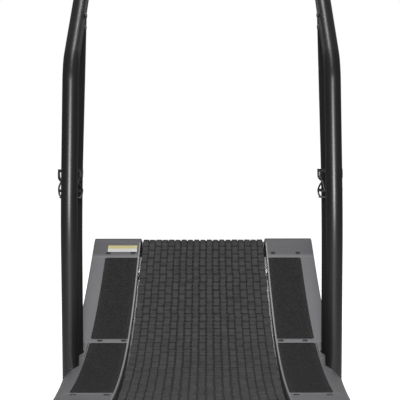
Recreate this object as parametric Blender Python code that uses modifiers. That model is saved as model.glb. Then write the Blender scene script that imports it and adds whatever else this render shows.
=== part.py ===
"""A curved manual treadmill, modelled as its separate parts.

Units are metres. +X is the runner's right, +Y is forwards (towards the console), +Z is up.
The origin is on the floor, under the middle of the machine.
"""

import math

import bmesh
import bpy
import numpy as np
from mathutils import Matrix, Vector

# Running surface: the slope eases from the front drum to the rear one along half a cosine.
RUN_LENGTH = 1.594
FRONT_SLOPE = math.radians(21.6)
SLOPE_CHANGE = math.radians(27.0)
REAR_SLOPE = FRONT_SLOPE - SLOPE_CHANGE
LOW_POINT_HEIGHT = 0.240
SLAT_PITCH = 0.058
BELT_HALF_WIDTH = 0.216
BELT_THICKNESS = 0.024
DRUM_RADIUS = 0.088            # to the outside of the slats
GROOVE_WIDTH = 0.005
GROOVE_DEPTH = 0.005
RETURN_SLOPE = math.radians(20.0)
RETURN_HANDLE = 0.53

# Side covers
NOSE_RADIUS = 0.110
COVER_INNER = 0.223
COVER_FLAT_OUTER = 0.390
COVER_WIDE_OUTER = 0.413
COVER_RISE = 0.008             # how far the covers stand above the belt at the rear
COVER_WALL = 0.003
LIP_DEPTH = 0.028
SHOULDER_START = 0.345
CAP_SEAM = 0.099
MIDDLE_SEAM = 0.757
SHROUD_SEAM = 0.905
REAR_SEAM = 1.345
SEAM_GAP = 0.0008
PAD_INNER = 0.229
PAD_OUTER = 0.342
PAD_THICKNESS = 0.0018

# Frame
RAIL_INNER = 0.355
RAIL_OUTER = 0.415
RAIL_BOTTOM = 0.028
RAIL_TOP = 0.098
CROSS_SIZE = 0.050
PLATE_INNER = 0.230
PLATE_THICKNESS = 0.006
SHAFT_RADIUS = 0.0125
ROLLER_RADIUS = 0.013
ROLLER_COUNT = 14

# Handrails and posts
TUBE_X = 0.378
TUBE_RADIUS = 0.024
HANDRAIL_SETBACK = 0.936       # behind the front end of the running surface
POST_SETBACK = 0.808
CROSSBAR_HALF = 0.200

# Console
CONSOLE_SIZE = (0.260, 0.034, 0.170)
CONSOLE_TILT = math.radians(-20.0)
BUTTON_RADIUS = 0.009

GAP = 0.0003                   # left between pieces that touch


# ---------------------------------------------------------------- scene and materials

def clear_scene():
    for obj in list(bpy.data.objects):
        bpy.data.objects.remove(obj, do_unlink=True)


def new_collection(name):
    collection = bpy.data.collections.new(name)
    bpy.context.scene.collection.children.link(collection)
    return collection


def make_material(name, colour, roughness, metallic):
    material = bpy.data.materials.new(name)
    material.use_nodes = True
    shader = material.node_tree.nodes["Principled BSDF"]
    shader.inputs["Base Color"].default_value = (*colour, 1.0)
    shader.inputs["Roughness"].default_value = roughness
    shader.inputs["Metallic"].default_value = metallic
    return material


clear_scene()
PARTS = new_collection("curved_treadmill")
CUTTERS = new_collection("cutters")

SATIN_BLACK = ("satin_black_paint", (0.020, 0.020, 0.021), 0.38, 0.0)
FRAME_GREY = ("frame_paint", (0.060, 0.060, 0.063), 0.50, 0.0)
COVER_GREY = ("cover_grey", (0.190, 0.186, 0.195), 0.55, 0.0)
SLAT_RUBBER = ("slat_rubber", (0.062, 0.062, 0.064), 0.85, 0.0)
GRIT_BLACK = ("grip_grit", (0.028, 0.028, 0.029), 0.95, 0.0)
BARE_STEEL = ("bare_steel", (0.560, 0.560, 0.570), 0.30, 1.0)
BLACK_PLASTIC = ("black_plastic", (0.018, 0.018, 0.018), 0.45, 0.0)
FOOT_RUBBER = ("foot_rubber", (0.025, 0.025, 0.025), 0.90, 0.0)
LABEL_STOCK = ("label_stock", (0.800, 0.760, 0.520), 0.50, 0.0)
LENS_TINT = ("lens_tint", (0.030, 0.045, 0.050), 0.08, 0.0)


def finish(obj, finish_values):
    """Give the object a material of its own and put it among the parts."""
    name, colour, roughness, metallic = finish_values
    obj.data.materials.clear()
    obj.data.materials.append(make_material(f"{obj.name}_{name}", colour, roughness, metallic))
    for collection in list(obj.users_collection):
        collection.objects.unlink(obj)
    PARTS.objects.link(obj)
    return obj


def as_cutter(obj):
    for collection in list(obj.users_collection):
        collection.objects.unlink(obj)
    CUTTERS.objects.link(obj)
    obj.hide_render = True
    obj.display_type = "WIRE"
    return obj


def side_name(base, side):
    return f"{base}_{'right' if side > 0 else 'left'}"


# ---------------------------------------------------------------- the deck curve

def slope_at(s):
    return FRONT_SLOPE - SLOPE_CHANGE * (1.0 - math.cos(math.pi * s / RUN_LENGTH)) / 2.0


def upward_normal(slope):
    return Vector((-math.sin(slope), math.cos(slope)))


def integrate_deck(steps=800):
    """Heights and rearward distances of the running surface, measured from its front end."""
    s = np.linspace(0.0, RUN_LENGTH, steps + 1)
    slopes = np.array([slope_at(value) for value in s])
    width = RUN_LENGTH / steps
    back = np.concatenate([[0.0], np.cumsum((np.cos(slopes[1:]) + np.cos(slopes[:-1])) / 2 * width)])
    fall = np.concatenate([[0.0], np.cumsum((np.sin(slopes[1:]) + np.sin(slopes[:-1])) / 2 * width)])
    return s, back, fall


DECK_S, DECK_BACK, DECK_FALL = integrate_deck()
NOSE_REACH = NOSE_RADIUS * (1.0 + math.sin(FRONT_SLOPE))
TAIL_REACH = (NOSE_RADIUS + COVER_RISE) - NOSE_RADIUS * math.sin(REAR_SLOPE)
LENGTH = NOSE_REACH + DECK_BACK[-1] + TAIL_REACH
HALF_LENGTH = LENGTH / 2.0
FRONT_Y = HALF_LENGTH - NOSE_REACH
FRONT_Z = LOW_POINT_HEIGHT + DECK_FALL.max()


def deck_point(s, lift=0.0, radius=DRUM_RADIUS):
    """(y, z) and slope of a line that follows the deck and then turns down round each end."""
    inside = min(max(s, 0.0), RUN_LENGTH)
    slope = slope_at(inside)
    point = Vector((FRONT_Y - float(np.interp(inside, DECK_S, DECK_BACK)),
                    FRONT_Z - float(np.interp(inside, DECK_S, DECK_FALL))))
    overrun = s - inside
    if overrun:
        heading = math.copysign(1.0, overrun)
        centre = point - radius * upward_normal(slope)
        turn = min(abs(overrun) / radius, math.pi / 2 - heading * slope)
        beyond = abs(overrun) - radius * turn
        slope += heading * turn
        along = -heading * Vector((math.cos(slope), math.sin(slope)))
        point = centre + radius * upward_normal(slope) + beyond * along
    return point + lift * upward_normal(slope), slope


def drum_centre(front):
    s = 0.0 if front else RUN_LENGTH
    point, slope = deck_point(s)
    return point - DRUM_RADIUS * upward_normal(slope)


def cover_lift(s):
    return COVER_RISE * min(max(s / RUN_LENGTH, 0.0), 1.0)


# ---------------------------------------------------------------- building helpers

def mesh_object(name, bm, collection=None):
    mesh = bpy.data.meshes.new(name)
    bm.to_mesh(mesh)
    bm.free()
    obj = bpy.data.objects.new(name, mesh)
    (collection or PARTS).objects.link(obj)
    return obj


def smooth(obj, angle=35.0):
    obj.data.shade_smooth()
    obj.data.set_sharp_from_angle(angle=math.radians(angle))
    return obj


def add_bevel(obj, width):
    bevel = obj.modifiers.new("rounded_edges", "BEVEL")
    bevel.width = width
    bevel.segments = 1
    bevel.limit_method = "ANGLE"
    bevel.angle_limit = math.radians(40.0)
    return obj


def box(name, low, high, bevel=0.0):
    """A box between two corners, with its origin at its centre."""
    low, high = Vector(low), Vector(high)
    bpy.ops.mesh.primitive_cube_add(size=1.0, location=(low + high) / 2.0)
    obj = bpy.context.object
    obj.name = name
    obj.data.name = name
    obj.data.transform(Matrix.Diagonal((*(high - low), 1.0)))
    if bevel:
        add_bevel(obj, bevel)
    return obj


def cylinder(name, radius, start, end, sides=20):
    start, end = Vector(start), Vector(end)
    bpy.ops.mesh.primitive_cylinder_add(vertices=sides, radius=radius, depth=(end - start).length)
    obj = bpy.context.object
    obj.name = name
    obj.data.name = name
    obj.location = (start + end) / 2.0
    obj.rotation_euler = (end - start).to_track_quat("Z", "Y").to_euler()
    return smooth(obj)


def turned(name, profile, location, rotation=(0.0, 0.0, 0.0), steps=20):
    """A turned piece: (radius, height) points that run from top to bottom, round the Z axis."""
    bm = bmesh.new()
    points = [bm.verts.new((radius, 0.0, height)) for radius, height in profile]
    for first, second in zip(points, points[1:]):
        bm.edges.new((first, second))
    obj = mesh_object(name, bm)
    obj.location = location
    obj.rotation_euler = rotation
    screw = obj.modifiers.new("turn", "SCREW")
    screw.steps = steps
    screw.render_steps = steps
    screw.use_merge_vertices = True
    screw.merge_threshold = 0.0001
    screw.use_smooth_shade = True
    return obj


def outline_plate(name, outlines, x_low, x_high):
    """A flat plate across X, cut to (y, z) outlines; outlines inside the first are holes."""
    curve = bpy.data.curves.new(name, "CURVE")
    curve.dimensions = "2D"
    curve.fill_mode = "BOTH"
    curve.extrude = (x_high - x_low) / 2.0
    for outline in outlines:
        spline = curve.splines.new("POLY")
        spline.points.add(len(outline) - 1)
        for point, (y, z) in zip(spline.points, outline):
            point.co = (y, z, 0.0, 1.0)
        spline.use_cyclic_u = True
    obj = bpy.data.objects.new(name, curve)
    obj.location = ((x_low + x_high) / 2.0, 0.0, 0.0)
    obj.rotation_euler = (math.pi / 2, 0.0, math.pi / 2)
    PARTS.objects.link(obj)
    return obj


def circle_points(centre, radius, count):
    return [(centre[0] + radius * math.cos(math.tau * i / count),
             centre[1] + radius * math.sin(math.tau * i / count)) for i in range(count)]


def rounded_route(corners, radii, arc_step=math.radians(9.0)):
    """Points along straight runs between corners, each inner corner turned on its radius."""
    corners = [Vector(corner) for corner in corners]
    route = [corners[0]]
    for before, corner, after, radius in zip(corners, corners[1:], corners[2:], radii):
        inward = (before - corner).normalized()
        outward = (after - corner).normalized()
        turn = math.pi - inward.angle(outward)
        bisector = (inward + outward).normalized()
        centre = corner + bisector * (radius / math.cos(turn / 2))
        start = corner + inward * radius * math.tan(turn / 2) - centre
        axis = start.cross(corner + outward * radius * math.tan(turn / 2) - centre).normalized()
        count = max(2, math.ceil(turn / arc_step))
        route += [centre + Matrix.Rotation(turn * i / count, 3, axis) @ start for i in range(count + 1)]
    return route + [corners[-1]]


def tube(name, route, radius, resolution=4):
    """A round bar or tube along a route, with filled ends."""
    curve = bpy.data.curves.new(name, "CURVE")
    curve.dimensions = "3D"
    curve.bevel_depth = radius
    curve.bevel_resolution = resolution
    curve.use_fill_caps = True
    spline = curve.splines.new("POLY")
    spline.points.add(len(route) - 1)
    for point, place in zip(spline.points, route):
        point.co = (*place, 1.0)
    spline.use_smooth = True
    obj = bpy.data.objects.new(name, curve)
    PARTS.objects.link(obj)
    return obj


def tube_mesh(name, route, radius, resolution=4):
    """The same tube as a closed mesh, for a piece that is cut or joined."""
    curve_object = tube(name + "_route", route, radius, resolution)
    depsgraph = bpy.context.evaluated_depsgraph_get()
    mesh = bpy.data.meshes.new_from_object(curve_object.evaluated_get(depsgraph))
    mesh.name = name
    bm = bmesh.new()
    bm.from_mesh(mesh)
    bmesh.ops.remove_doubles(bm, verts=bm.verts, dist=0.00001)
    bm.to_mesh(mesh)
    bm.free()
    obj = bpy.data.objects.new(name, mesh)
    obj.matrix_world = curve_object.matrix_world
    PARTS.objects.link(obj)
    bpy.data.objects.remove(curve_object, do_unlink=True)
    return obj


def boolean(obj, cutter, operation="DIFFERENCE"):
    as_cutter(cutter)
    modifier = obj.modifiers.new(operation.lower(), "BOOLEAN")
    modifier.operation = operation
    modifier.object = cutter
    return obj


def loft(name, sections, flip):
    """A skin over rows of points; where rows close to one point the faces become triangles."""
    bm = bmesh.new()
    rows = [[bm.verts.new(point) for point in section] for section in sections]
    for row, following in zip(rows, rows[1:]):
        for j in range(len(row) - 1):
            corners = (row[j], following[j], following[j + 1], row[j + 1])
            bm.faces.new(reversed(corners) if flip else corners)
    bmesh.ops.remove_doubles(bm, verts=bm.verts, dist=0.00002)
    bmesh.ops.dissolve_degenerate(bm, edges=bm.edges, dist=0.00002)
    return mesh_object(name, bm)


def thicken(obj, thickness, outwards=False):
    solidify = obj.modifiers.new("wall", "SOLIDIFY")
    solidify.thickness = thickness
    solidify.offset = 1.0 if outwards else -1.0
    return obj


def stations(start, end, spacing):
    count = max(1, math.ceil((end - start) / spacing))
    return [start + (end - start) * i / count for i in range(count + 1)]


# ---------------------------------------------------------------- frame

def build_frame():
    rail_end = HALF_LENGTH - 0.030
    for side in (-1, 1):
        inner, outer = sorted((side * RAIL_INNER, side * RAIL_OUTER))
        rail = box(side_name("base_rail", side), (inner, -rail_end, RAIL_BOTTOM),
                   (outer, rail_end, RAIL_TOP), bevel=0.005)
        finish(rail, FRAME_GREY)
    cross_reach = RAIL_INNER - GAP
    for name, y in (("cross_member_front", 0.760), ("cross_member_middle", -0.120),
                    ("cross_member_rear", -0.770)):
        member = box(name, (-cross_reach, y - CROSS_SIZE / 2, 0.030),
                     (cross_reach, y + CROSS_SIZE / 2, 0.030 + CROSS_SIZE), bevel=0.004)
        finish(member, FRAME_GREY)


def side_plate_outline():
    """Round the front drum, along the deck, round the rear drum and back along the bottom."""
    bottom = 0.030 + CROSS_SIZE + GAP
    top = [deck_point(s, -0.024)[0] for s in stations(0.0, RUN_LENGTH, 0.100)]
    radius = DRUM_RADIUS - 0.024
    front, rear = drum_centre(True), drum_centre(False)
    nose = [front + radius * Vector((math.cos(a), math.sin(a)))
            for a in np.radians([-40.0, -5.0, 30.0, 65.0, 95.0])]
    tail = [rear + radius * Vector((math.cos(a), math.sin(a))) for a in np.radians([110.0, 145.0, 180.0])]
    outline = nose + top[1:-1] + tail
    return outline + [Vector((rear.x - radius, bottom)), Vector((0.640, bottom))]


def build_side_plates():
    """Laser-cut plates that carry the drum shafts and the roller tracks."""
    outline = side_plate_outline()
    holes = [circle_points(drum_centre(front), SHAFT_RADIUS + 0.006, 20) for front in (True, False)]
    for side in (-1, 1):
        inner, outer = sorted((side * PLATE_INNER, side * (PLATE_INNER + PLATE_THICKNESS)))
        finish(outline_plate(side_name("side_plate", side), [outline] + holes, inner, outer), FRAME_GREY)


def build_roller_tracks():
    """A curved bar on each side plate, with its row of ball-bearing rollers under the slats."""
    axis_lift = -(BELT_THICKNESS + 0.0006 + ROLLER_RADIUS)
    span = stations(0.060, RUN_LENGTH - 0.060, 0.085)
    upper = [deck_point(s, axis_lift + 0.009)[0] for s in span]
    lower = [deck_point(s, axis_lift - 0.011)[0] for s in reversed(span)]
    spacing = (RUN_LENGTH - 0.160) / (ROLLER_COUNT - 1)
    for side in (-1, 1):
        inner, outer = sorted((side * 0.215, side * (PLATE_INNER - GAP)))
        bar = outline_plate(side_name("track_bar", side), [upper + lower], inner, outer)
        track = solid_copy(side_name("roller_track", side), bar)
        bm = bmesh.new()
        for i in range(ROLLER_COUNT):
            y, z = deck_point(0.080 + spacing * i, axis_lift)[0]
            place = Matrix.Translation((side * 0.2055, y, z)) @ Matrix.Rotation(math.pi / 2, 4, "Y")
            bmesh.ops.create_cone(bm, cap_ends=True, segments=8, radius1=ROLLER_RADIUS,
                                  radius2=ROLLER_RADIUS, depth=0.024, matrix=place)
        rollers = mesh_object(side_name("track_rollers", side), bm)
        finish(boolean(track, rollers, "UNION"), BARE_STEEL)


def solid_copy(name, curve_object):
    """The closed mesh of a filled curve, which takes the curve's place."""
    depsgraph = bpy.context.evaluated_depsgraph_get()
    mesh = bpy.data.meshes.new_from_object(curve_object.evaluated_get(depsgraph))
    bm = bmesh.new()
    bm.from_mesh(mesh)
    bmesh.ops.remove_doubles(bm, verts=bm.verts, dist=0.00001)
    bm.to_mesh(mesh)
    bm.free()
    obj = bpy.data.objects.new(name, mesh)
    obj.matrix_world = curve_object.matrix_world
    PARTS.objects.link(obj)
    bpy.data.objects.remove(curve_object, do_unlink=True)
    return obj


# ---------------------------------------------------------------- drums, shafts and bearings

def build_axles():
    plate_outer = PLATE_INNER + PLATE_THICKNESS
    bearing_depth = 0.024
    shaft_reach = plate_outer + bearing_depth + 0.008
    half_slat = (SLAT_PITCH - GROOVE_WIDTH) / 2
    flat = math.sqrt(1.0 - (half_slat / DRUM_RADIUS) ** 2)       # slats are flat, so they cut the circle
    pulley_radius = (DRUM_RADIUS - BELT_THICKNESS) * flat - 0.0008
    for end, front in (("front", True), ("rear", False)):
        y, z = drum_centre(front)
        shaft = cylinder(f"{end}_shaft", SHAFT_RADIUS, (-shaft_reach, y, z), (shaft_reach, y, z))
        finish(shaft, BARE_STEEL)
        for side in (-1, 1):
            bore = SHAFT_RADIUS + 0.0005
            profile = [(bore, 0.030), (0.030, 0.030), (0.030, 0.022), (pulley_radius, 0.022),
                       (pulley_radius, -0.022), (bore, -0.022), (bore, 0.030)]
            pulley = turned(side_name(f"{end}_pulley", side), profile, (side * 0.175, y, z),
                            (0.0, -side * math.pi / 2, 0.0))
            finish(pulley, FRAME_GREY)
            build_bearing(side_name(f"{end}_bearing", side), side, (y, z), plate_outer, bearing_depth)


def build_bearing(name, side, centre, plate_outer, depth):
    """A flanged bearing housing on the outer face of the side plate."""
    y, z = centre
    inner, outer = sorted((side * (plate_outer + GAP), side * (plate_outer + depth)))
    housing = box(name, (inner, y - 0.036, z - 0.036), (outer, y + 0.036, z + 0.036), bevel=0.010)
    bore = cylinder(name + "_bore", SHAFT_RADIUS + 0.0005, (inner - 0.01, y, z), (outer + 0.01, y, z))
    finish(boolean(housing, bore), BARE_STEEL)


# ---------------------------------------------------------------- slat belt

def return_run(count=24):
    """The slack lower run, from under the rear drum to under the front one."""
    front, rear = drum_centre(True), drum_centre(False)
    start = rear + DRUM_RADIUS * Vector((0.0, -1.0))
    end = front + DRUM_RADIUS * Vector((math.sin(RETURN_SLOPE), -math.cos(RETURN_SLOPE)))
    near = start + RETURN_HANDLE * Vector((1.0, 0.0))
    far = end - RETURN_HANDLE * Vector((math.cos(RETURN_SLOPE), math.sin(RETURN_SLOPE)))
    points = []
    for i in range(1, count):
        t = i / count
        points.append((1 - t) ** 3 * start + 3 * (1 - t) ** 2 * t * near
                      + 3 * (1 - t) * t ** 2 * far + t ** 3 * end)
    return points


def belt_loop():
    """Outer surface of the belt as one closed line, from the front end of the running surface."""
    top = [deck_point(s)[0] for s in stations(0.0, RUN_LENGTH, 0.010)]
    front, rear = drum_centre(True), drum_centre(False)
    rear_angles = np.linspace(math.pi / 2 + REAR_SLOPE, 1.5 * math.pi, 18)[1:]
    rear_arc = [rear + DRUM_RADIUS * Vector((math.cos(a), math.sin(a))) for a in rear_angles]
    front_angles = np.linspace(-math.pi / 2 + RETURN_SLOPE, math.pi / 2 + FRONT_SLOPE, 20)[:-1]
    front_arc = [front + DRUM_RADIUS * Vector((math.cos(a), math.sin(a))) for a in front_angles]
    return top + rear_arc + return_run() + front_arc


def build_belt():
    """One closed loop of slats, with a groove between each pair."""
    loop = np.array([tuple(point) for point in belt_loop()])
    closed = np.vstack([loop, loop[:1]])
    lengths = np.concatenate([[0.0], np.cumsum(np.linalg.norm(np.diff(closed, axis=0), axis=1))])
    count = round(lengths[-1] / SLAT_PITCH)
    pitch = lengths[-1] / count

    def sample(distance):
        distance %= lengths[-1]
        return Vector([np.interp(distance, lengths, column) for column in closed.T])

    bm = bmesh.new()
    rings = []
    for i in range(count):
        groove = (i + 0.5) * pitch
        for step, depth in ((-GROOVE_WIDTH / 2, 0.0), (0.0, GROOVE_DEPTH), (GROOVE_WIDTH / 2, 0.0)):
            place = sample(groove + step)
            along = (sample(groove + step + 0.012) - sample(groove + step - 0.012)).normalized()
            inward = Vector((-along.y, along.x))
            outer = place + inward * depth
            inner = place + inward * BELT_THICKNESS
            rings.append([bm.verts.new((x, *point)) for x, point in
                          ((-BELT_HALF_WIDTH, outer), (BELT_HALF_WIDTH, outer),
                           (BELT_HALF_WIDTH, inner), (-BELT_HALF_WIDTH, inner))])
    for ring, following in zip(rings, rings[1:] + rings[:1]):
        for j in range(4):
            k = (j + 1) % 4
            bm.faces.new((ring[j], following[j], following[k], ring[k]))
    finish(mesh_object("slat_belt", bm), SLAT_RUBBER)


# ---------------------------------------------------------------- covers

FLAT_EDGE = ((COVER_FLAT_OUTER - 0.004, 0.0), (COVER_FLAT_OUTER, 0.004))
SHOULDER = ((SHOULDER_START, 0.0), (0.361, 0.005), (0.377, 0.017), (0.391, 0.035),
            (0.402, 0.056), (0.410, 0.080), (COVER_WIDE_OUTER, 0.100))
INNER_LIP = ((COVER_INNER, LIP_DEPTH), (COVER_INNER, 0.003), (COVER_INNER + 0.003, 0.0))


def cover_section(s, side, profile, foot):
    """Points across a cover at s; foot adds the outer wall's bottom edge on the base rail."""
    top, slope = deck_point(s, cover_lift(s), NOSE_RADIUS)
    if s < 0.0:
        slope = min(slope, 0.0)
    elif s > RUN_LENGTH:
        slope = max(slope, 0.0)
    else:
        slope = 0.0
    down = -upward_normal(slope)
    base = RAIL_TOP + 0.0005
    points = []
    for x, drop in profile:
        place = top + drop * down
        points.append((side * x, place.x, max(place.y, base)))
    if foot:
        points.append((points[-1][0], points[-1][1], base))
    return points


def build_cover(name, side, start, end, profile, spacing=0.060, foot=True):
    rows = [cover_section(s, side, profile, foot) for s in stations(start, end, spacing)]
    return finish(smooth(thicken(loft(name, rows, side < 0), COVER_WALL)), COVER_GREY)


def tube_cutter(name, side, setback, clearance=0.0015):
    y = FRONT_Y - setback
    return cylinder(name, TUBE_RADIUS + clearance, (side * TUBE_X, y, 0.06), (side * TUBE_X, y, 0.60), 20)


def nose_end():
    """How far the front caps run past the front end of the running surface, down to the rail."""
    top_of_face = deck_point(-NOSE_RADIUS * (FRONT_SLOPE + math.pi / 2), 0.0, NOSE_RADIUS)[0].y
    return NOSE_RADIUS * (FRONT_SLOPE + math.pi / 2) + top_of_face - RAIL_TOP - 0.0005


def tail_end():
    turn = math.pi / 2 - REAR_SLOPE
    top_of_face = deck_point(RUN_LENGTH + NOSE_RADIUS * turn, 0.0, NOSE_RADIUS)[0].y
    return NOSE_RADIUS * turn + top_of_face - RAIL_TOP - 0.0005


def nose_stations():
    turn = NOSE_RADIUS * (FRONT_SLOPE + math.pi / 2)
    return [-nose_end()] + [-turn * (1 - i / 9) for i in range(9)] + stations(0.0, CAP_SEAM - SEAM_GAP, 0.050)


def tail_stations():
    turn = NOSE_RADIUS * (math.pi / 2 - REAR_SLOPE)
    arc = [RUN_LENGTH + turn * (i + 1) / 7 for i in range(7)]
    return stations(REAR_SEAM + SEAM_GAP, RUN_LENGTH, 0.085) + arc + [RUN_LENGTH + tail_end()]


def build_covers():
    for side in (-1, 1):
        flat = INNER_LIP + FLAT_EDGE
        wide = INNER_LIP + SHOULDER
        cap_rows = [cover_section(s, side, flat, True) for s in nose_stations()]
        cap = thicken(loft(side_name("front_cap", side), cap_rows, side < 0), COVER_WALL)
        finish(smooth(cap), COVER_GREY)
        build_cover(side_name("front_cover", side), side, CAP_SEAM, MIDDLE_SEAM - SEAM_GAP, flat)

        rear = build_cover(side_name("rear_cover", side), side, MIDDLE_SEAM, REAR_SEAM, wide)
        seam_y = deck_point(SHROUD_SEAM)[0].x
        inner, outer = sorted((side * SHOULDER_START, side * 0.450))
        notch = box(side_name("shroud_notch", side), (inner, seam_y, 0.05), (outer, seam_y + 0.30, 0.60))
        boolean(rear, notch)
        boolean(rear, tube_cutter(side_name("handrail_hole", side), side, HANDRAIL_SETBACK))

        shroud_profile = ((SHOULDER_START + 0.0020, 0.0),) + SHOULDER[1:]
        shroud = build_cover(side_name("post_shroud", side), side, MIDDLE_SEAM,
                             SHROUD_SEAM - SEAM_GAP, shroud_profile, spacing=0.050)
        boolean(shroud, tube_cutter(side_name("post_hole", side), side, POST_SETBACK - 0.003, 0.004))

        tail_rows = [cover_section(s, side, wide, True) for s in tail_stations()]
        tail = thicken(loft(side_name("rear_cap", side), tail_rows, side < 0), COVER_WALL)
        finish(smooth(tail), COVER_GREY)


def strip_on_cover(name, low_x, high_x, start, end, lift, thickness, spacing=0.080):
    """A thin flat piece stuck on a cover, following its curve."""
    rows = []
    for s in stations(start, end, spacing):
        y, z = deck_point(s, cover_lift(s) + lift, NOSE_RADIUS)[0]
        rows.append([(low_x, y, z), (high_x, y, z)])
    return thicken(loft(name, rows, False), thickness, outwards=True)


def build_grip_pads():
    for side in (-1, 1):
        low, high = sorted((side * PAD_INNER, side * PAD_OUTER))
        for place, start, end in (("front", 0.119, 0.728), ("rear", 0.769, 1.337)):
            pad = strip_on_cover(side_name(f"{place}_grip_pad", side), low, high, start, end,
                                 GAP, PAD_THICKNESS)
            finish(pad, GRIT_BLACK)


def build_label():
    label = strip_on_cover("blank_label", -0.337, -0.234, 0.026, 0.078, GAP, 0.0006)
    finish(label, LABEL_STOCK)


def build_front_guard():
    """The curved sheet between the front caps, ahead of the front drum."""
    reach = COVER_INNER - SEAM_GAP
    open_turn = NOSE_RADIUS * (FRONT_SLOPE + math.radians(35.0))
    full_turn = NOSE_RADIUS * (FRONT_SLOPE + math.pi / 2)
    places = [-nose_end()] + [-full_turn + (full_turn - open_turn) * i / 5 for i in range(6)]
    rows = []
    for s in places:
        y, z = deck_point(s, 0.0, NOSE_RADIUS)[0]
        rows.append([(-reach, y, z), (reach, y, z)])
    finish(smooth(thicken(loft("front_guard", rows, False), 0.002)), COVER_GREY)


# ---------------------------------------------------------------- handrails and posts

HANDRAIL_BEND = (FRONT_Y - 0.842, 1.112)
CROSSBAR_PLACE = (FRONT_Y - 0.140, 1.555)
POST_TOP = (FRONT_Y - 0.585, 1.274)          # on the handrail's axis, where the post is coped to it

def handrail_route(side):
    x = side * TUBE_X
    foot = RAIL_TOP + 0.008 + 2 * GAP
    corners = [(x, FRONT_Y - HANDRAIL_SETBACK, foot), (x, FRONT_Y - HANDRAIL_SETBACK, 0.680),
               (x, *HANDRAIL_BEND), (x, *CROSSBAR_PLACE), (side * CROSSBAR_HALF, *CROSSBAR_PLACE)]
    return rounded_route(corners, (1.000, 0.130, 0.090))


def post_route(side):
    x = side * TUBE_X
    foot = RAIL_TOP + 0.008 + 2 * GAP + 0.0006     # its end is square to a tube that leans a little
    corners = [(x, FRONT_Y - POST_SETBACK, foot), (x, FRONT_Y - 0.796, 0.700), (x, *POST_TOP)]
    return rounded_route(corners, (1.000,), math.radians(5.0))


def build_handrails():
    foot_low, foot_high = FRONT_Y - HANDRAIL_SETBACK - 0.045, FRONT_Y - POST_SETBACK + 0.045
    for side in (-1, 1):
        finish(tube(side_name("handrail", side), handrail_route(side), TUBE_RADIUS), SATIN_BLACK)
        post = tube_mesh(side_name("front_post", side), post_route(side), TUBE_RADIUS)
        x = side * TUBE_X
        saddle = cylinder(side_name("saddle", side), TUBE_RADIUS + 0.0006,
                          (x, *HANDRAIL_BEND), (x, *CROSSBAR_PLACE), 24)
        finish(smooth(boolean(post, saddle)), SATIN_BLACK)
        inner, outer = sorted((side * 0.350, side * 0.408))
        plate = box(side_name("foot_plate", side), (inner, foot_low, RAIL_TOP + GAP),
                    (outer, foot_high, RAIL_TOP + 0.008 + GAP))
        finish(plate, FRAME_GREY)
    bar = cylinder("console_crossbar", TUBE_RADIUS, (-CROSSBAR_HALF + GAP, *CROSSBAR_PLACE),
                   (CROSSBAR_HALF - GAP, *CROSSBAR_PLACE), 16)
    finish(bar, SATIN_BLACK)


# ---------------------------------------------------------------- bottle cages

CAGE_RADIUS = 0.0365
CAGE_SHIFT = -0.0045           # both cages sit a little to the left of their posts
CAGE_SETBACK = 0.8405
CAGE_TOP = 0.802
CAGE_LOW = 0.744
CAGE_FLOOR = 0.724


def build_bottle_cages():
    """A band cage bolted to the back of each front post, open at the top."""
    for side in (-1, 1):
        x = side * TUBE_X + CAGE_SHIFT
        centre_y = FRONT_Y - CAGE_SETBACK
        back_y = centre_y + CAGE_RADIUS
        cage = box(side_name("bottle_cage", side), (x - 0.010, back_y - 0.002, CAGE_FLOOR),
                   (x + 0.010, back_y + 0.003, CAGE_TOP + 0.006))
        for height, band in ((CAGE_TOP, 0.0032), (CAGE_LOW, 0.0032)):
            bpy.ops.mesh.primitive_torus_add(location=(x, centre_y, height), major_radius=CAGE_RADIUS,
                                             minor_radius=band, major_segments=16, minor_segments=4)
            boolean(cage, bpy.context.object, "UNION")
        floor = cylinder(side_name("cage_floor", side), 0.036, (x, centre_y, CAGE_FLOOR - 0.002),
                         (x, centre_y, CAGE_FLOOR + 0.002), 20)
        boolean(cage, floor, "UNION")
        for turn in (-1, 1):
            spots = ((CAGE_TOP, 80.0), (0.786, 62.0), (0.772, 36.0), (0.758, 62.0), (CAGE_LOW, 85.0),
                     (CAGE_FLOOR, 80.0))
            route = []
            for height, angle in spots:
                around = math.radians(angle) * turn
                reach = CAGE_RADIUS if height > CAGE_FLOOR else CAGE_RADIUS - 0.006
                route.append((x + reach * math.sin(around), centre_y - reach * math.cos(around), height))
            strut = tube_mesh(side_name(f"cage_strut_{turn + 1}", side), route, 0.0028, 2)
            boolean(cage, strut, "UNION")
        finish(cage, BLACK_PLASTIC)


# ---------------------------------------------------------------- console

PIVOT = Vector((0.0, FRONT_Y - 0.185, 1.548))
PIN_RADIUS = 0.004


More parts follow.
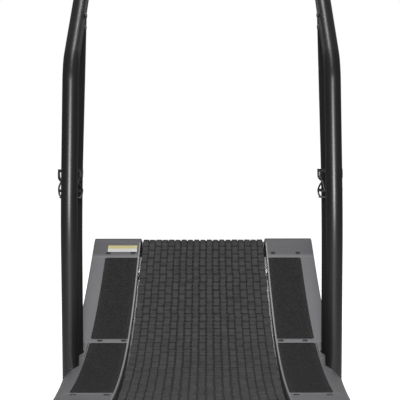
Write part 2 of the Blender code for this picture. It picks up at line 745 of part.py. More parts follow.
def build_console():
    """A clamp on the crossbar, and a housing that tilts on it, with a window and three buttons."""
    reach = 0.030
    bar_y, bar_z = CROSSBAR_PLACE
    across = Vector((reach, 0.0, 0.0))
    clear = Vector((0.050, 0.0, 0.0))
    clamp = box("console_clamp", (-reach, bar_y - reach, bar_z - reach),
                (reach, bar_y + reach, bar_z + reach), bevel=0.003)
    arm = box("clamp_arm", (-reach, PIVOT.y, PIVOT.z - 0.007), (reach, bar_y, PIVOT.z + 0.007))
    boolean(clamp, arm, "UNION")
    boolean(clamp, cylinder("clamp_barrel", 0.009, PIVOT - across, PIVOT + across), "UNION")
    boolean(clamp, cylinder("clamp_bore", TUBE_RADIUS + 0.0006, (-0.05, *CROSSBAR_PLACE),
                            (0.05, *CROSSBAR_PLACE)))
    boolean(clamp, cylinder("pin_bore", PIN_RADIUS + 0.0005, PIVOT - clear, PIVOT + clear))
    finish(clamp, FRAME_GREY)

    tilt = Matrix.Translation(PIVOT) @ Matrix.Rotation(CONSOLE_TILT, 4, "X")
    width, depth, height = CONSOLE_SIZE
    back = -0.016
    face = back - depth

    def place(obj):
        obj.matrix_world = tilt @ obj.matrix_world
        return obj

    def local_box(name, low, high, bevel=0.0):
        obj = box(name, low, high, bevel)
        obj.data.transform(Matrix.Translation(obj.location))
        obj.location = (0.0, 0.0, 0.0)
        obj.matrix_world = tilt
        return obj

    housing = local_box("console_housing", (-width / 2, face, -0.090),
                        (width / 2, back, -0.090 + height), 0.008)
    lug_reach = reach + 0.0065
    for side in (-1, 1):
        inner, outer = sorted((side * (reach + 0.0005), side * lug_reach))
        lug = local_box(side_name("lug", side), (inner, back - 0.002, -0.008), (outer, 0.008, 0.008))
        boolean(housing, lug, "UNION")
    pin_half = Vector((lug_reach, 0.0, 0.0))
    boolean(housing, cylinder("hinge_pin", PIN_RADIUS, PIVOT - pin_half, PIVOT + pin_half), "UNION")
    recess = local_box("window_recess", (-0.0855, face - 0.01, -0.0255), (0.0855, face + 0.0025, 0.0655))
    boolean(housing, recess)
    lens = local_box("console_window", (-0.085, face + 0.0002, -0.025), (0.085, face + 0.0022, 0.065))
    finish(lens, LENS_TINT)
    for index, x in enumerate((-0.055, 0.0, 0.055)):
        start, end = Vector((x, face - 0.0015, -0.055)), Vector((x, face + 0.0035, -0.055))
        recess = cylinder(f"button_recess_{index + 1}", BUTTON_RADIUS + 0.0006,
                          start + Vector((0.0, -0.01, 0.0)), end + Vector((0.0, 0.0022, 0.0)))
        bpy.context.view_layer.update()
        boolean(housing, place(recess))
        button = cylinder(f"console_button_{index + 1}", BUTTON_RADIUS, start, end)
        bpy.context.view_layer.update()
        finish(place(button), FOOT_RUBBER)
    finish(housing, BLACK_PLASTIC)


# ---------------------------------------------------------------- feet, wheels and handle

FOOT_PROFILE = [(0.0, RAIL_BOTTOM - GAP), (0.006, RAIL_BOTTOM - GAP), (0.006, 0.014), (0.018, 0.012),
                (0.026, 0.006), (0.026, 0.0), (0.0, 0.0)]


def build_feet():
    foot_x = (RAIL_INNER + RAIL_OUTER) / 2
    foot_y = HALF_LENGTH - 0.130
    for end, sign in (("front", 1), ("rear", -1)):
        for side in (-1, 1):
            foot = turned(side_name(f"{end}_foot", side), FOOT_PROFILE, (side * foot_x, sign * foot_y, 0.0))
            finish(foot, FOOT_RUBBER)


def build_wheels():
    """Transport wheels inside the front ends of the rails, just clear of the floor."""
    y, z, radius = HALF_LENGTH - 0.046, 0.046, 0.040
    for side in (-1, 1):
        inner, outer = sorted((side * 0.3470, side * (RAIL_INNER - GAP)))
        bracket = box(side_name("wheel_bracket", side), (inner, y - 0.025, 0.032),
                      (outer, y + 0.015, 0.094), bevel=0.002)
        boolean(bracket, cylinder(side_name("wheel_pin", side), 0.006, (side * 0.350, y, z),
                                  (side * 0.302, y, z), 16), "UNION")
        boolean(bracket, cylinder(side_name("wheel_pin_head", side), 0.010, (side * 0.305, y, z),
                                  (side * 0.301, y, z), 16), "UNION")
        finish(bracket, FRAME_GREY)
        profile = [(0.0068, 0.014), (0.034, 0.014), (radius, 0.008), (radius, -0.008),
                   (0.034, -0.014), (0.0068, -0.014), (0.0068, 0.014)]
        wheel = turned(side_name("transport_wheel", side), profile, (side * 0.3245, y, z),
                       (0.0, math.pi / 2, 0.0))
        finish(wheel, FOOT_RUBBER)


def build_lift_handle():
    """The bar at the back that the machine is tipped up by."""
    start_y, end_y, z = -0.770 - CROSS_SIZE / 2 - GAP, -HALF_LENGTH + 0.030, 0.055
    corners = [(-0.200, start_y, z), (-0.200, end_y, z), (0.200, end_y, z), (0.200, start_y, z)]
    route = rounded_route(corners, (0.035, 0.035), math.radians(15.0))
    finish(tube("lift_handle", route, 0.0125, 4), SATIN_BLACK)


build_frame()
build_side_plates()
build_roller_tracks()
build_axles()
build_belt()
build_covers()
build_grip_pads()
build_label()
build_front_guard()
build_handrails()
build_bottle_cages()
build_console()
build_feet()
build_wheels()
build_lift_handle()
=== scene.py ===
"""Looks of a curved manual treadmill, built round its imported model. Metres, +Y forwards, +Z up."""

import math

import bmesh
import bpy
import numpy as np
from mathutils import Matrix, Vector


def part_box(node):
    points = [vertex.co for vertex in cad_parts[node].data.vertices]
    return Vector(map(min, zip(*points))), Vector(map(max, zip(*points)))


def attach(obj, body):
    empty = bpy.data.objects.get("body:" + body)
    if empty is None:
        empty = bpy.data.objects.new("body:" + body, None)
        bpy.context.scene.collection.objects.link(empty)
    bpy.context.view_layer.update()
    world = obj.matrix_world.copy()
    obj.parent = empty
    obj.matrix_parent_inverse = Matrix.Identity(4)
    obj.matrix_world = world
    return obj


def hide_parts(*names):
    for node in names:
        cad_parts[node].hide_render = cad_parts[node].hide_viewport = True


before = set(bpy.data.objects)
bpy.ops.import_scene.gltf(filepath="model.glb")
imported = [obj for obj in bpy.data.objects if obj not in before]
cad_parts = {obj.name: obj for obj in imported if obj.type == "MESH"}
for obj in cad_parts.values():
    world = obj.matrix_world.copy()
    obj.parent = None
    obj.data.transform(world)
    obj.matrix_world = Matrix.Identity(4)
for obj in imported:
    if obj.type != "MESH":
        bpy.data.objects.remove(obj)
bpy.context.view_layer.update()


# ----------------------------------------------
# Slat belt. A closed loop of about sixty stiff slats, each faced with a moulded rubber tread of
# nineteen columns of blocks. The slats are bolted to two drive belts that run over the end drums.

RUN_LENGTH = 1.594
FRONT_SLOPE = math.radians(21.6)
SLOPE_CHANGE = math.radians(27.0)
REAR_SLOPE = FRONT_SLOPE - SLOPE_CHANGE
LOW_POINT = 0.240
DRUM_RADIUS = 0.088
RETURN_SLOPE = math.radians(20.0)
RETURN_HANDLE = 0.53
SLAT_PITCH = 0.058
SLAT_SEAM = 0.0022
SLAT_WIDTH = 0.432
SLAT_DEPTH = 0.024
RIB_X, RIB_WIDTH, RIB_HEIGHT, RIB_ROOT = 0.150, 0.060, 0.006, 0.001
TREAD_COLUMNS = 19
TREAD_COLUMN = SLAT_WIDTH / TREAD_COLUMNS
CENTRAL_REACH = 4
CENTRAL_GROOVE, OUTER_GROOVE = 0.0056, 0.0036
CENTRAL_SPLIT, OUTER_SPLIT = 0.0044, 0.0062
WHOLE_BLOCK_GAP = 0.0052
TOOTH_SIZE, TOOTH_Y, TOOTH_RISE = (0.0060, 0.0046, 0.0036), 0.0135, 0.0016
TREAD_HEIGHT = 0.0060
WORN_AND_LIT_TOP = 0.0010
SLAT_SCATTER, SCATTER_SEED = 0.0010, 7
NOSE_RADIUS = 0.110
DECK_STEPS = 800

front_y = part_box("front_cap_left")[1].y - NOSE_RADIUS * (1.0 + math.sin(FRONT_SLOPE))


def spaced(start, end, count):
    """Evenly spaced numbers from start to end."""
    return [float(value) for value in np.linspace(start, end, count)]


def deck_slope(s):
    """Slope of the running side at a distance s behind its front end."""
    return FRONT_SLOPE - SLOPE_CHANGE * (1.0 - math.cos(math.pi * s / RUN_LENGTH)) / 2.0


def running_sum(rates):
    """How far a line that changes at these rates has gone by each step along the deck."""
    return np.concatenate([[0.0], np.cumsum((rates[1:] + rates[:-1]) / 2)]) * (RUN_LENGTH / DECK_STEPS)


deck_s = np.array(spaced(0.0, RUN_LENGTH, DECK_STEPS + 1))
deck_slopes = np.array([deck_slope(s) for s in deck_s])
deck_back, deck_fall = running_sum(np.cos(deck_slopes)), running_sum(np.sin(deck_slopes))
front_z = LOW_POINT + deck_fall.max()


def normal_of(slope):
    return Vector((-math.sin(slope), math.cos(slope)))


def deck_point(s, lift=0.0, radius=DRUM_RADIUS):
    """(y, z) and slope on a line that follows the deck, then turns down round either end."""
    inside = min(max(s, 0.0), RUN_LENGTH)
    slope = deck_slope(inside)
    point = Vector((front_y - float(np.interp(inside, deck_s, deck_back)),
                    front_z - float(np.interp(inside, deck_s, deck_fall))))
    overrun = s - inside
    if overrun:
        heading = math.copysign(1.0, overrun)
        centre = point - radius * normal_of(slope)
        turn = min(abs(overrun) / radius, math.pi / 2 - heading * slope)
        beyond = abs(overrun) - radius * turn
        slope += heading * turn
        point = centre + radius * normal_of(slope)
        point -= beyond * heading * Vector((math.cos(slope), math.sin(slope)))
    return point + lift * normal_of(slope), slope


def drum_centre(s):
    point, slope = deck_point(s)
    return point - DRUM_RADIUS * normal_of(slope)


def belt_line():
    """The outside of the tread as one closed line, from the front end of the running side."""
    front, rear = drum_centre(0.0), drum_centre(RUN_LENGTH)
    line = [deck_point(s)[0] for s in spaced(0.0, RUN_LENGTH, 160)]
    for turn in spaced(math.pi / 2 + REAR_SLOPE, 1.5 * math.pi, 30)[1:]:
        line.append(rear + DRUM_RADIUS * Vector((math.cos(turn), math.sin(turn))))
    start = rear - DRUM_RADIUS * Vector((0.0, 1.0))
    end = front + DRUM_RADIUS * Vector((math.sin(RETURN_SLOPE), -math.cos(RETURN_SLOPE)))
    near = start + RETURN_HANDLE * Vector((1.0, 0.0))
    far = end - RETURN_HANDLE * Vector((math.cos(RETURN_SLOPE), math.sin(RETURN_SLOPE)))
    for t in spaced(0.0, 1.0, 60)[1:-1]:
        line.append((1 - t) ** 3 * start + 3 * (1 - t) ** 2 * t * near
                    + 3 * (1 - t) * t ** 2 * far + t ** 3 * end)
    for turn in spaced(-math.pi / 2 + RETURN_SLOPE, math.pi / 2 + FRONT_SLOPE, 34)[:-1]:
        line.append(front + DRUM_RADIUS * Vector((math.cos(turn), math.sin(turn))))
    return np.array([tuple(point) for point in line])


def new_object(name, data):
    obj = bpy.data.objects.new(name, data)
    bpy.context.scene.collection.objects.link(obj)
    return obj


def mesh_piece(name, bm):
    """A mesh object from a bmesh, in the scene."""
    mesh = bpy.data.meshes.new(name)
    bm.to_mesh(mesh)
    bm.free()
    return new_object(name, mesh)


def plain_mesh(obj, name=""):
    """The object as it is shown, with its modifiers and its place put into one new mesh."""
    name = name or obj.name
    bpy.context.view_layer.update()
    shown = obj.evaluated_get(bpy.context.evaluated_depsgraph_get())
    mesh = bpy.data.meshes.new_from_object(shown)
    mesh.name = name
    mesh.transform(obj.matrix_world)
    bpy.data.objects.remove(obj, do_unlink=True)
    return new_object(name, mesh)


def soft_shade(obj, angle=32.0):
    obj.data.shade_smooth()
    obj.data.set_sharp_from_angle(angle=math.radians(angle))
    return obj


def copies_tree():
    """Geometry nodes that put a copy of one piece on every point, turned as the point says."""
    tree = bpy.data.node_groups.new("copies_on_places", "GeometryNodeTree")
    for label, kind in (("Places", "NodeSocketGeometry"), ("Copied Piece", "NodeSocketObject"),
                        ("Sideways Scatter", "NodeSocketFloat"), ("Seed", "NodeSocketInt"),
                        ("Finish", "NodeSocketMaterial")):
        tree.interface.new_socket(label, in_out="INPUT", socket_type=kind)
    tree.interface.new_socket("Copies", in_out="OUTPUT", socket_type="NodeSocketGeometry")
    new = tree.nodes.new
    given, result = new("NodeGroupInput"), new("NodeGroupOutput")
    turn = new("GeometryNodeInputNamedAttribute")
    turn.data_type = "FLOAT_VECTOR"
    turn.inputs["Name"].default_value = "turn"
    as_rotation = new("FunctionNodeEulerToRotation")
    scatter = new("FunctionNodeRandomValue")
    scatter.data_type = "FLOAT"
    opposite = new("ShaderNodeMath")
    opposite.operation = "MULTIPLY"
    opposite.inputs[1].default_value = -1.0
    sideways = new("ShaderNodeCombineXYZ")
    moved = new("GeometryNodeSetPosition")
    piece = new("GeometryNodeObjectInfo")
    copies = new("GeometryNodeInstanceOnPoints")
    real = new("GeometryNodeRealizeInstances")
    coated = new("GeometryNodeSetMaterial")
    link = tree.links.new
    link(given.outputs["Sideways Scatter"], opposite.inputs[0])
    link(opposite.outputs[0], scatter.inputs[2])
    link(given.outputs["Sideways Scatter"], scatter.inputs[3])
    link(given.outputs["Seed"], scatter.inputs["Seed"])
    link(scatter.outputs[1], sideways.inputs["X"])
    link(given.outputs["Places"], moved.inputs["Geometry"])
    link(sideways.outputs[0], moved.inputs["Offset"])
    link(moved.outputs[0], copies.inputs["Points"])
    link(given.outputs["Copied Piece"], piece.inputs["Object"])
    link(piece.outputs["Geometry"], copies.inputs["Instance"])
    link(turn.outputs["Attribute"], as_rotation.inputs[0])
    link(as_rotation.outputs[0], copies.inputs["Rotation"])
    link(copies.outputs[0], real.inputs[0])
    link(real.outputs[0], coated.inputs["Geometry"])
    link(given.outputs["Finish"], coated.inputs["Material"])
    link(coated.outputs[0], result.inputs["Copies"])
    return tree


COPIES = copies_tree()


def copies_of(name, piece, places, finish, scatter=0.0):
    """One mesh holding a copy of the piece at each (place, turn), and the piece is used up."""
    mesh = bpy.data.meshes.new(name + "_places")
    mesh.from_pydata([tuple(place) for place, turn in places], [], [])
    turns = mesh.attributes.new("turn", "FLOAT_VECTOR", "POINT")
    turns.data.foreach_set("vector", [value for place, turn in places for value in turn])
    holder = new_object(name + "_places", mesh)
    nodes = holder.modifiers.new("copies", "NODES")
    nodes.node_group = COPIES
    values = {"Copied Piece": piece, "Sideways Scatter": scatter, "Seed": SCATTER_SEED, "Finish": finish}
    for socket in COPIES.interface.items_tree:
        if socket.name in values:
            nodes[socket.identifier] = values[socket.name]
    result = plain_mesh(holder, name)
    bpy.data.objects.remove(piece, do_unlink=True)
    return result


def worn_surface_group():
    """Colour, roughness and height of a surface: slow patches, fine grain and rubbed edges."""
    group = bpy.data.node_groups.new("worn_surface", "ShaderNodeTree")
    for label, kind in (("Main Colour", "Color"), ("Patch Colour", "Color"), ("Edge Colour", "Color"),
                        ("Patch Scale", "Float"), ("Patch Amount", "Float"), ("Edge Amount", "Float"),
                        ("Roughness", "Float"), ("Roughness Spread", "Float"), ("Grain Scale", "Float"),
                        ("Grain Tint", "Float")):
        group.interface.new_socket(label, in_out="INPUT", socket_type="NodeSocket" + kind)
    for label, kind in (("Colour", "Color"), ("Roughness", "Float"), ("Height", "Float")):
        group.interface.new_socket(label, in_out="OUTPUT", socket_type="NodeSocket" + kind)
    new, link = group.nodes.new, group.links.new
    given, result = new("NodeGroupInput"), new("NodeGroupOutput")
    place = new("ShaderNodeTexCoord")
    patches, grain = new("ShaderNodeTexNoise"), new("ShaderNodeTexNoise")
    patches.inputs["Detail"].default_value = 5.0
    grain.inputs["Detail"].default_value = 3.0
    for noise, label in ((patches, "Patch Scale"), (grain, "Grain Scale")):
        link(place.outputs["Object"], noise.inputs["Vector"])
        link(given.outputs[label], noise.inputs["Scale"])

    def maths(operation, first, second):
        node = new("ShaderNodeMath")
        node.operation = operation
        for socket, value in zip(node.inputs, (first, second)):
            if isinstance(value, float):
                socket.default_value = value
            else:
                link(value, socket)
        return node.outputs[0]

    def stretched(value, low, high):
        node = new("ShaderNodeMapRange")
        node.inputs["From Min"].default_value = low
        node.inputs["From Max"].default_value = high
        link(value, node.inputs["Value"])
        return node.outputs[0]

    def mixed(amount, first, second):
        node = new("ShaderNodeMix")
        node.data_type = "RGBA"
        node.clamp_factor = True
        link(amount, node.inputs[0])
        link(first, node.inputs[6])
        link(second, node.inputs[7])
        return node.outputs[2]

    shape = new("ShaderNodeNewGeometry")
    edges = stretched(shape.outputs["Pointiness"], 0.53, 0.62)
    rubbed = maths("MULTIPLY", edges, maths("MULTIPLY", given.outputs["Edge Amount"], patches.outputs[0]))
    patch_share = maths("MULTIPLY", stretched(patches.outputs[0], 0.34, 0.66), given.outputs["Patch Amount"])
    patched = mixed(patch_share, given.outputs["Main Colour"], given.outputs["Patch Colour"])
    grain_share = maths("MULTIPLY", stretched(grain.outputs[0], 0.36, 0.64), given.outputs["Grain Tint"])
    grained = mixed(grain_share, patched, given.outputs["Edge Colour"])
    link(mixed(rubbed, grained, given.outputs["Edge Colour"]), result.inputs["Colour"])
    spread = maths("MULTIPLY", maths("SUBTRACT", patches.outputs[0], 0.5), given.outputs["Roughness Spread"])
    link(maths("ADD", given.outputs["Roughness"], spread), result.inputs["Roughness"])
    link(grain.outputs[0], result.inputs["Height"])
    return group


WORN_SURFACE = worn_surface_group()


def worn_finish(name, main, patch, edge, rough, spread, grain, depth, patch_scale=6.0, patch_amount=0.5,
                edge_amount=0.5, grain_tint=0.0, metallic=0.0, coat=0.0, specular=0.5):
    """A material that wears like the real surface: grain is in bumps per metre, depth in metres.

    A colour is (red, green, blue), or one number where it is a neutral grey."""
    material = bpy.data.materials.new(name)
    material.use_nodes = True
    tree = material.node_tree
    shader = tree.nodes["Principled BSDF"]
    wear = tree.nodes.new("ShaderNodeGroup")
    wear.node_tree = WORN_SURFACE
    for label, colour in (("Main Colour", main), ("Patch Colour", patch), ("Edge Colour", edge)):
        parts = (colour, colour, colour) if isinstance(colour, float) else colour
        wear.inputs[label].default_value = (*parts, 1)
    for label, value in (("Patch Scale", patch_scale), ("Patch Amount", patch_amount),
                         ("Edge Amount", edge_amount), ("Roughness", rough), ("Roughness Spread", spread),
                         ("Grain Scale", grain), ("Grain Tint", grain_tint)):
        wear.inputs[label].default_value = value
    bump = tree.nodes.new("ShaderNodeBump")
    bump.inputs["Strength"].default_value = 0.6
    bump.inputs["Distance"].default_value = depth
    tree.links.new(wear.outputs["Height"], bump.inputs["Height"])
    for output, label in ((bump.outputs["Normal"], "Normal"), (wear.outputs["Colour"], "Base Color"),
                          (wear.outputs["Roughness"], "Roughness")):
        tree.links.new(output, shader.inputs[label])
    for label, value in (("Metallic", metallic), ("Coat Weight", coat), ("Specular IOR Level", specular)):
        shader.inputs[label].default_value = value
    return material


def coat_with(obj, material):
    obj.data.materials.clear()
    obj.data.materials.append(material)


def fit_piece(obj, finish, slot, *nodes, body="frame"):
    """The piece takes a finish, rides on a body, and stands for the nodes named. The slot is not used."""
    coat_with(obj, finish)
    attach(obj, body)
    if nodes:
        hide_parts(*nodes)


def tread_block(bm, x, y, width, length, low, high, chamfer):
    """A block of tread with chamfered top edges."""
    rings = []
    for inset, z in ((0.0, low), (0.0, high - chamfer), (chamfer, high))[:3 if chamfer else 2]:
        across, along = width / 2 - inset, length / 2 - inset
        rings.append([bm.verts.new((x + sx * across, y + sy * along, z))
                      for sx, sy in ((-1, -1), (1, -1), (1, 1), (-1, 1))])
    for ring, above in zip(rings, rings[1:]):
        for j in range(4):
            k = (j + 1) % 4
            bm.faces.new((ring[j], ring[k], above[k], above[j]))
    bm.faces.new(rings[-1])


def slat_blocks(bm, pitch, low, high, chamfer):
    """Whole blocks and split blocks in turn across one slat, closer together in the outer columns."""
    length = pitch - SLAT_SEAM
    middle = TREAD_COLUMNS // 2
    for i in range(TREAD_COLUMNS):
        x = (i - middle) * TREAD_COLUMN
        central = abs(i - middle) <= CENTRAL_REACH
        width = TREAD_COLUMN - (CENTRAL_GROOVE if central else OUTER_GROOVE)
        if i % 2:
            tread_block(bm, x, 0.0, width, length - WHOLE_BLOCK_GAP, low, high, chamfer)
        else:
            half = (length - (CENTRAL_SPLIT if central else OUTER_SPLIT)) / 2
            for end in (-1, 1):
                tread_block(bm, x, end * (length - half) / 2, width, half, low, high, chamfer)


def add_block(bm, size, centre):
    block = bmesh.ops.create_cube(bm, size=1.0)["verts"]
    bmesh.ops.scale(bm, verts=block, vec=size)
    bmesh.ops.translate(bm, verts=block, vec=centre)


def slat_back(pitch):
    """The stiff back of a slat, with the sides of its blocks and the groove floors in near-black as painted
    shade, and ribs for the drive belts.
    """
    bm = bmesh.new()
    length = pitch - SLAT_SEAM
    low, high = RIB_HEIGHT - SLAT_DEPTH, -TREAD_HEIGHT
    add_block(bm, (SLAT_WIDTH, length, high - low), (0.0, 0.0, (low + high) / 2))
    rib = RIB_HEIGHT + RIB_ROOT
    for x in (-RIB_X, RIB_X):
        add_block(bm, (RIB_WIDTH, length * 0.8, rib), (x, 0.0, rib / 2 - SLAT_DEPTH))
    bmesh.ops.bevel(bm, geom=list(bm.edges), offset=0.0012, segments=1, affect="EDGES")
    slat_blocks(bm, pitch, -TREAD_HEIGHT - 0.0005, -WORN_AND_LIT_TOP, 0.0)
    for i in range(1, TREAD_COLUMNS):
        for y in (-TOOTH_Y, TOOTH_Y):
            add_block(bm, TOOTH_SIZE, (i * TREAD_COLUMN - SLAT_WIDTH / 2, y, TOOTH_RISE - TREAD_HEIGHT))
    return mesh_piece("back_pattern", bm)


def slat_tread(pitch):
    """The worn tops of the blocks, paler than their sides, which carry painted shade."""
    bm = bmesh.new()
    slat_blocks(bm, pitch, -WORN_AND_LIT_TOP, 0.0, WORN_AND_LIT_TOP * 0.8)
    return mesh_piece("tread_pattern", bm)


def slat_places():
    line = belt_line()
    closed = np.vstack([line, line[:1]])
    lengths = np.concatenate([[0.0], np.cumsum(np.linalg.norm(np.diff(closed, axis=0), axis=1))])
    total = lengths[-1]
    count = round(total / SLAT_PITCH)
    pitch = total / count
    places = []
    for i in range(count):
        distances = [(i + 0.5 + step) * pitch % total for step in (-0.47, 0.47)]
        front, back = (Vector([np.interp(d, lengths, column) for column in closed.T]) for d in distances)
        centre = (front + back) / 2
        ahead = front - back
        places.append(((0.0, centre.x, centre.y), (math.atan2(ahead.y, ahead.x), 0.0, 0.0)))
    return places, pitch


tread_rubber = worn_finish("tread_rubber", (0.022, 0.022, 0.023), (0.038, 0.038, 0.039), 0.080, 0.86,
                           0.16, 900.0, 0.0002, patch_scale=30.0, patch_amount=0.6, edge_amount=1.0,
                           grain_tint=0.10, specular=0.16)
# The near-black of the slat backs, block sides, teeth and groove floors is partly painted shade in the
# grooves.
slat_black = worn_finish("slat_black", 0.006, 0.010, 0.03, 0.7, 0.1, 500.0, 0.0002, edge_amount=0.3)
places, slat_pitch = slat_places()
for name, pattern, finish in (("belt_slat_backs", slat_back(slat_pitch), slat_black),
                              ("belt_tread_blocks", slat_tread(slat_pitch), tread_rubber)):
    fit_piece(copies_of(name, pattern, places, finish, SLAT_SCATTER), finish, "slat_rubber", "slat_belt")


# ----------------------------------------------
# Side covers. Thin moulded shells in satin grey with a turned-down lip beside the belt: flat ones
# at the front, and from the posts back a rounded shoulder. They are screwed to the frame.

SIDES = (("left", -1), ("right", 1))
COVER_INNER = 0.223
PAD_INNER, PAD_OUTER = 0.229, 0.342
FLAT_OUTER = 0.390
WIDE_OUTER = 0.413
COVER_RISE = 0.008
COVER_WALL = 0.003
LIP_DEPTH, LIP_ROUND, EDGE_ROUND = 0.028, 0.003, 0.0025
SHOULDER_START = 0.345
SHOULDER_DROP = 0.100
CAP_SEAM, MIDDLE_SEAM, SHROUD_SEAM, REAR_SEAM = 0.099, 0.757, 0.905, 1.345
SEAM_GAP, SHROUD_GAP = 0.0009, 0.0018
RAIL_CLEARANCE, POST_CLEARANCE = 0.0012, 0.003
TUBE_X = 0.378
TUBE_RADIUS = 0.024
HANDRAIL_Y = front_y - 0.936
POST_Y = front_y - 0.808
cover_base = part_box("base_rail_left")[1].z + 0.0006


def quarter_turn(x, drop, across, down, steps):
    """A quarter of an ellipse that leaves (x, drop) level and ends across and down from it."""
    return [(x + across * math.sin(t), drop + down * (1.0 - math.cos(t)))
            for t in spaced(0.0, math.pi / 2, steps + 1)]


def cover_row(s, side, profile):
    """Points across a cover at s, with the outer wall taken down to the base rail."""
    rise = COVER_RISE * min(max(s / RUN_LENGTH, 0.0), 1.0)
    top, slope = deck_point(s, rise, NOSE_RADIUS)
    slope = min(slope, 0.0) if s < 0.0 else max(slope, 0.0) if s > RUN_LENGTH else 0.0
    down = -normal_of(slope)
    row = [(side * x, (top + drop * down).x, max((top + drop * down).y, cover_base)) for x, drop in profile]
    _, y, z = row[-1]
    return row + [(row[-1][0], y, cover_base + (z - cover_base) * share) for share in (0.5, 0.0)]


def skin(name, rows, flip, wall, offset=-1.0):
    """A shell of even thickness over rows of points; with offset 1 the wall is on their other side."""
    bm = bmesh.new()
    grid = [[bm.verts.new(point) for point in row] for row in rows]
    for row, following in zip(grid, grid[1:]):
        for j in range(len(row) - 1):
            corners = (row[j], following[j], following[j + 1], row[j + 1])
            bm.faces.new(reversed(corners) if flip else corners)
    bmesh.ops.remove_doubles(bm, verts=bm.verts, dist=0.00002)
    bmesh.ops.dissolve_degenerate(bm, edges=bm.edges, dist=0.00002)
    obj = mesh_piece(name, bm)
    solid = obj.modifiers.new("wall", "SOLIDIFY")
    solid.thickness = wall
    solid.offset = offset
    return plain_mesh(obj)


def cut_by(obj, cutter):
    """Takes the cutter's shape out of the object."""
    cut = obj.modifiers.new("cut", "BOOLEAN")
    cut.operation = "DIFFERENCE"
    cut.object = cutter
    bpy.context.view_layer.update()
    result = plain_mesh(obj)
    bpy.data.objects.remove(cutter, do_unlink=True)
    return result


def box_between(corner, opposite):
    """A box between two opposite corners, given in any order."""
    low, high = (Vector([pick(pair) for pair in zip(corner, opposite)]) for pick in (min, max))
    bpy.ops.mesh.primitive_cube_add(size=1.0, location=(low + high) / 2)
    obj = bpy.context.object
    obj.scale = high - low
    return obj


def bar_between(start, end, radius, sides=64):
    start, end = Vector(start), Vector(end)
    bpy.ops.mesh.primitive_cylinder_add(vertices=sides, radius=radius, depth=(end - start).length)
    obj = bpy.context.object
    obj.location = (start + end) / 2
    obj.rotation_euler = (end - start).to_track_quat("Z", "Y").to_euler()
    return obj


def moulded_grey(name, main, patch):
    return worn_finish(name, main, patch, (0.30, 0.29, 0.31), 0.42, 0.10, 1500.0, 0.00004,
                       patch_scale=3.0, edge_amount=0.6)


inner_lip = [(COVER_INNER, LIP_DEPTH), (COVER_INNER, 0.012)]
inner_lip += [(COVER_INNER + LIP_ROUND - x, y)
              for x, y in reversed(quarter_turn(0.0, 0.0, LIP_ROUND, LIP_ROUND, 4))]
inner_lip += [(PAD_INNER, 0.0), (PAD_OUTER, 0.0)]
flat_profile = inner_lip + quarter_turn(FLAT_OUTER - EDGE_ROUND, 0.0, EDGE_ROUND, EDGE_ROUND, 4)
shoulder = quarter_turn(SHOULDER_START, 0.0, WIDE_OUTER - SHOULDER_START, SHOULDER_DROP, 16)
wide_profile = inner_lip + shoulder
nose_turn = NOSE_RADIUS * (FRONT_SLOPE + math.pi / 2)
nose_end = nose_turn + deck_point(-nose_turn, 0.0, NOSE_RADIUS)[0].y - cover_base
tail_turn = NOSE_RADIUS * (math.pi / 2 - REAR_SLOPE)
tail_end = tail_turn + deck_point(RUN_LENGTH + tail_turn, 0.0, NOSE_RADIUS)[0].y - cover_base

cover_plastic = moulded_grey("cover_plastic", (0.128, 0.124, 0.132), (0.160, 0.156, 0.164))
# The front caps take a darker grey than the covers. That darkness is painted shade.
cap_plastic = moulded_grey("cap_plastic", (0.070, 0.067, 0.074), (0.095, 0.092, 0.098))
cover_stations = {
    "front_cap": [-nose_end] + spaced(-nose_turn, 0.0, 25) + spaced(0.02, CAP_SEAM - SEAM_GAP, 6),
    "front_cover": spaced(CAP_SEAM, MIDDLE_SEAM - SEAM_GAP, 40),
    "rear_cover": spaced(MIDDLE_SEAM, REAR_SEAM, 36),
    "post_shroud": spaced(MIDDLE_SEAM, SHROUD_SEAM - SEAM_GAP, 14),
    "rear_cap": (spaced(REAR_SEAM + SEAM_GAP, RUN_LENGTH, 12)
                 + spaced(RUN_LENGTH, RUN_LENGTH + tail_turn, 22)[1:] + [RUN_LENGTH + tail_end])}
cover_profiles = {"front_cap": flat_profile, "front_cover": flat_profile,
                  "post_shroud": [(SHOULDER_START + SHROUD_GAP, 0.0)] + shoulder[1:]}
seam_y = deck_point(SHROUD_SEAM)[0].x


def tube_hole(shell, x, y, clearance):
    return cut_by(shell, bar_between((x, y, 0.03), (x, y, 0.6), TUBE_RADIUS + clearance, 48))


for word, side in SIDES:
    for node, stations in cover_stations.items():
        rows = [cover_row(s, side, cover_profiles.get(node, wide_profile)) for s in stations]
        shell = skin(f"{node.removeprefix('post_')}_shell_{word}", rows, side < 0, COVER_WALL)
        if node == "rear_cover":
            shell = cut_by(shell, box_between((side * SHOULDER_START, seam_y, 0.02),
                                              (side * 0.45, seam_y + 0.3, 0.6)))
            shell = tube_hole(shell, side * TUBE_X, HANDRAIL_Y, RAIL_CLEARANCE)
        elif node == "post_shroud":
            shell = tube_hole(shell, side * TUBE_X, POST_Y + 0.003, POST_CLEARANCE)
        plastic = cap_plastic if node == "front_cap" else cover_plastic
        fit_piece(soft_shade(shell, 40.0), plastic, "cover_grey", f"{node}_{word}")


# ----------------------------------------------
# Front guard. A curved grey sheet between the front caps that keeps fingers off the front drum,
# with a black rubber seal along either edge that stands 4 mm proud of it.

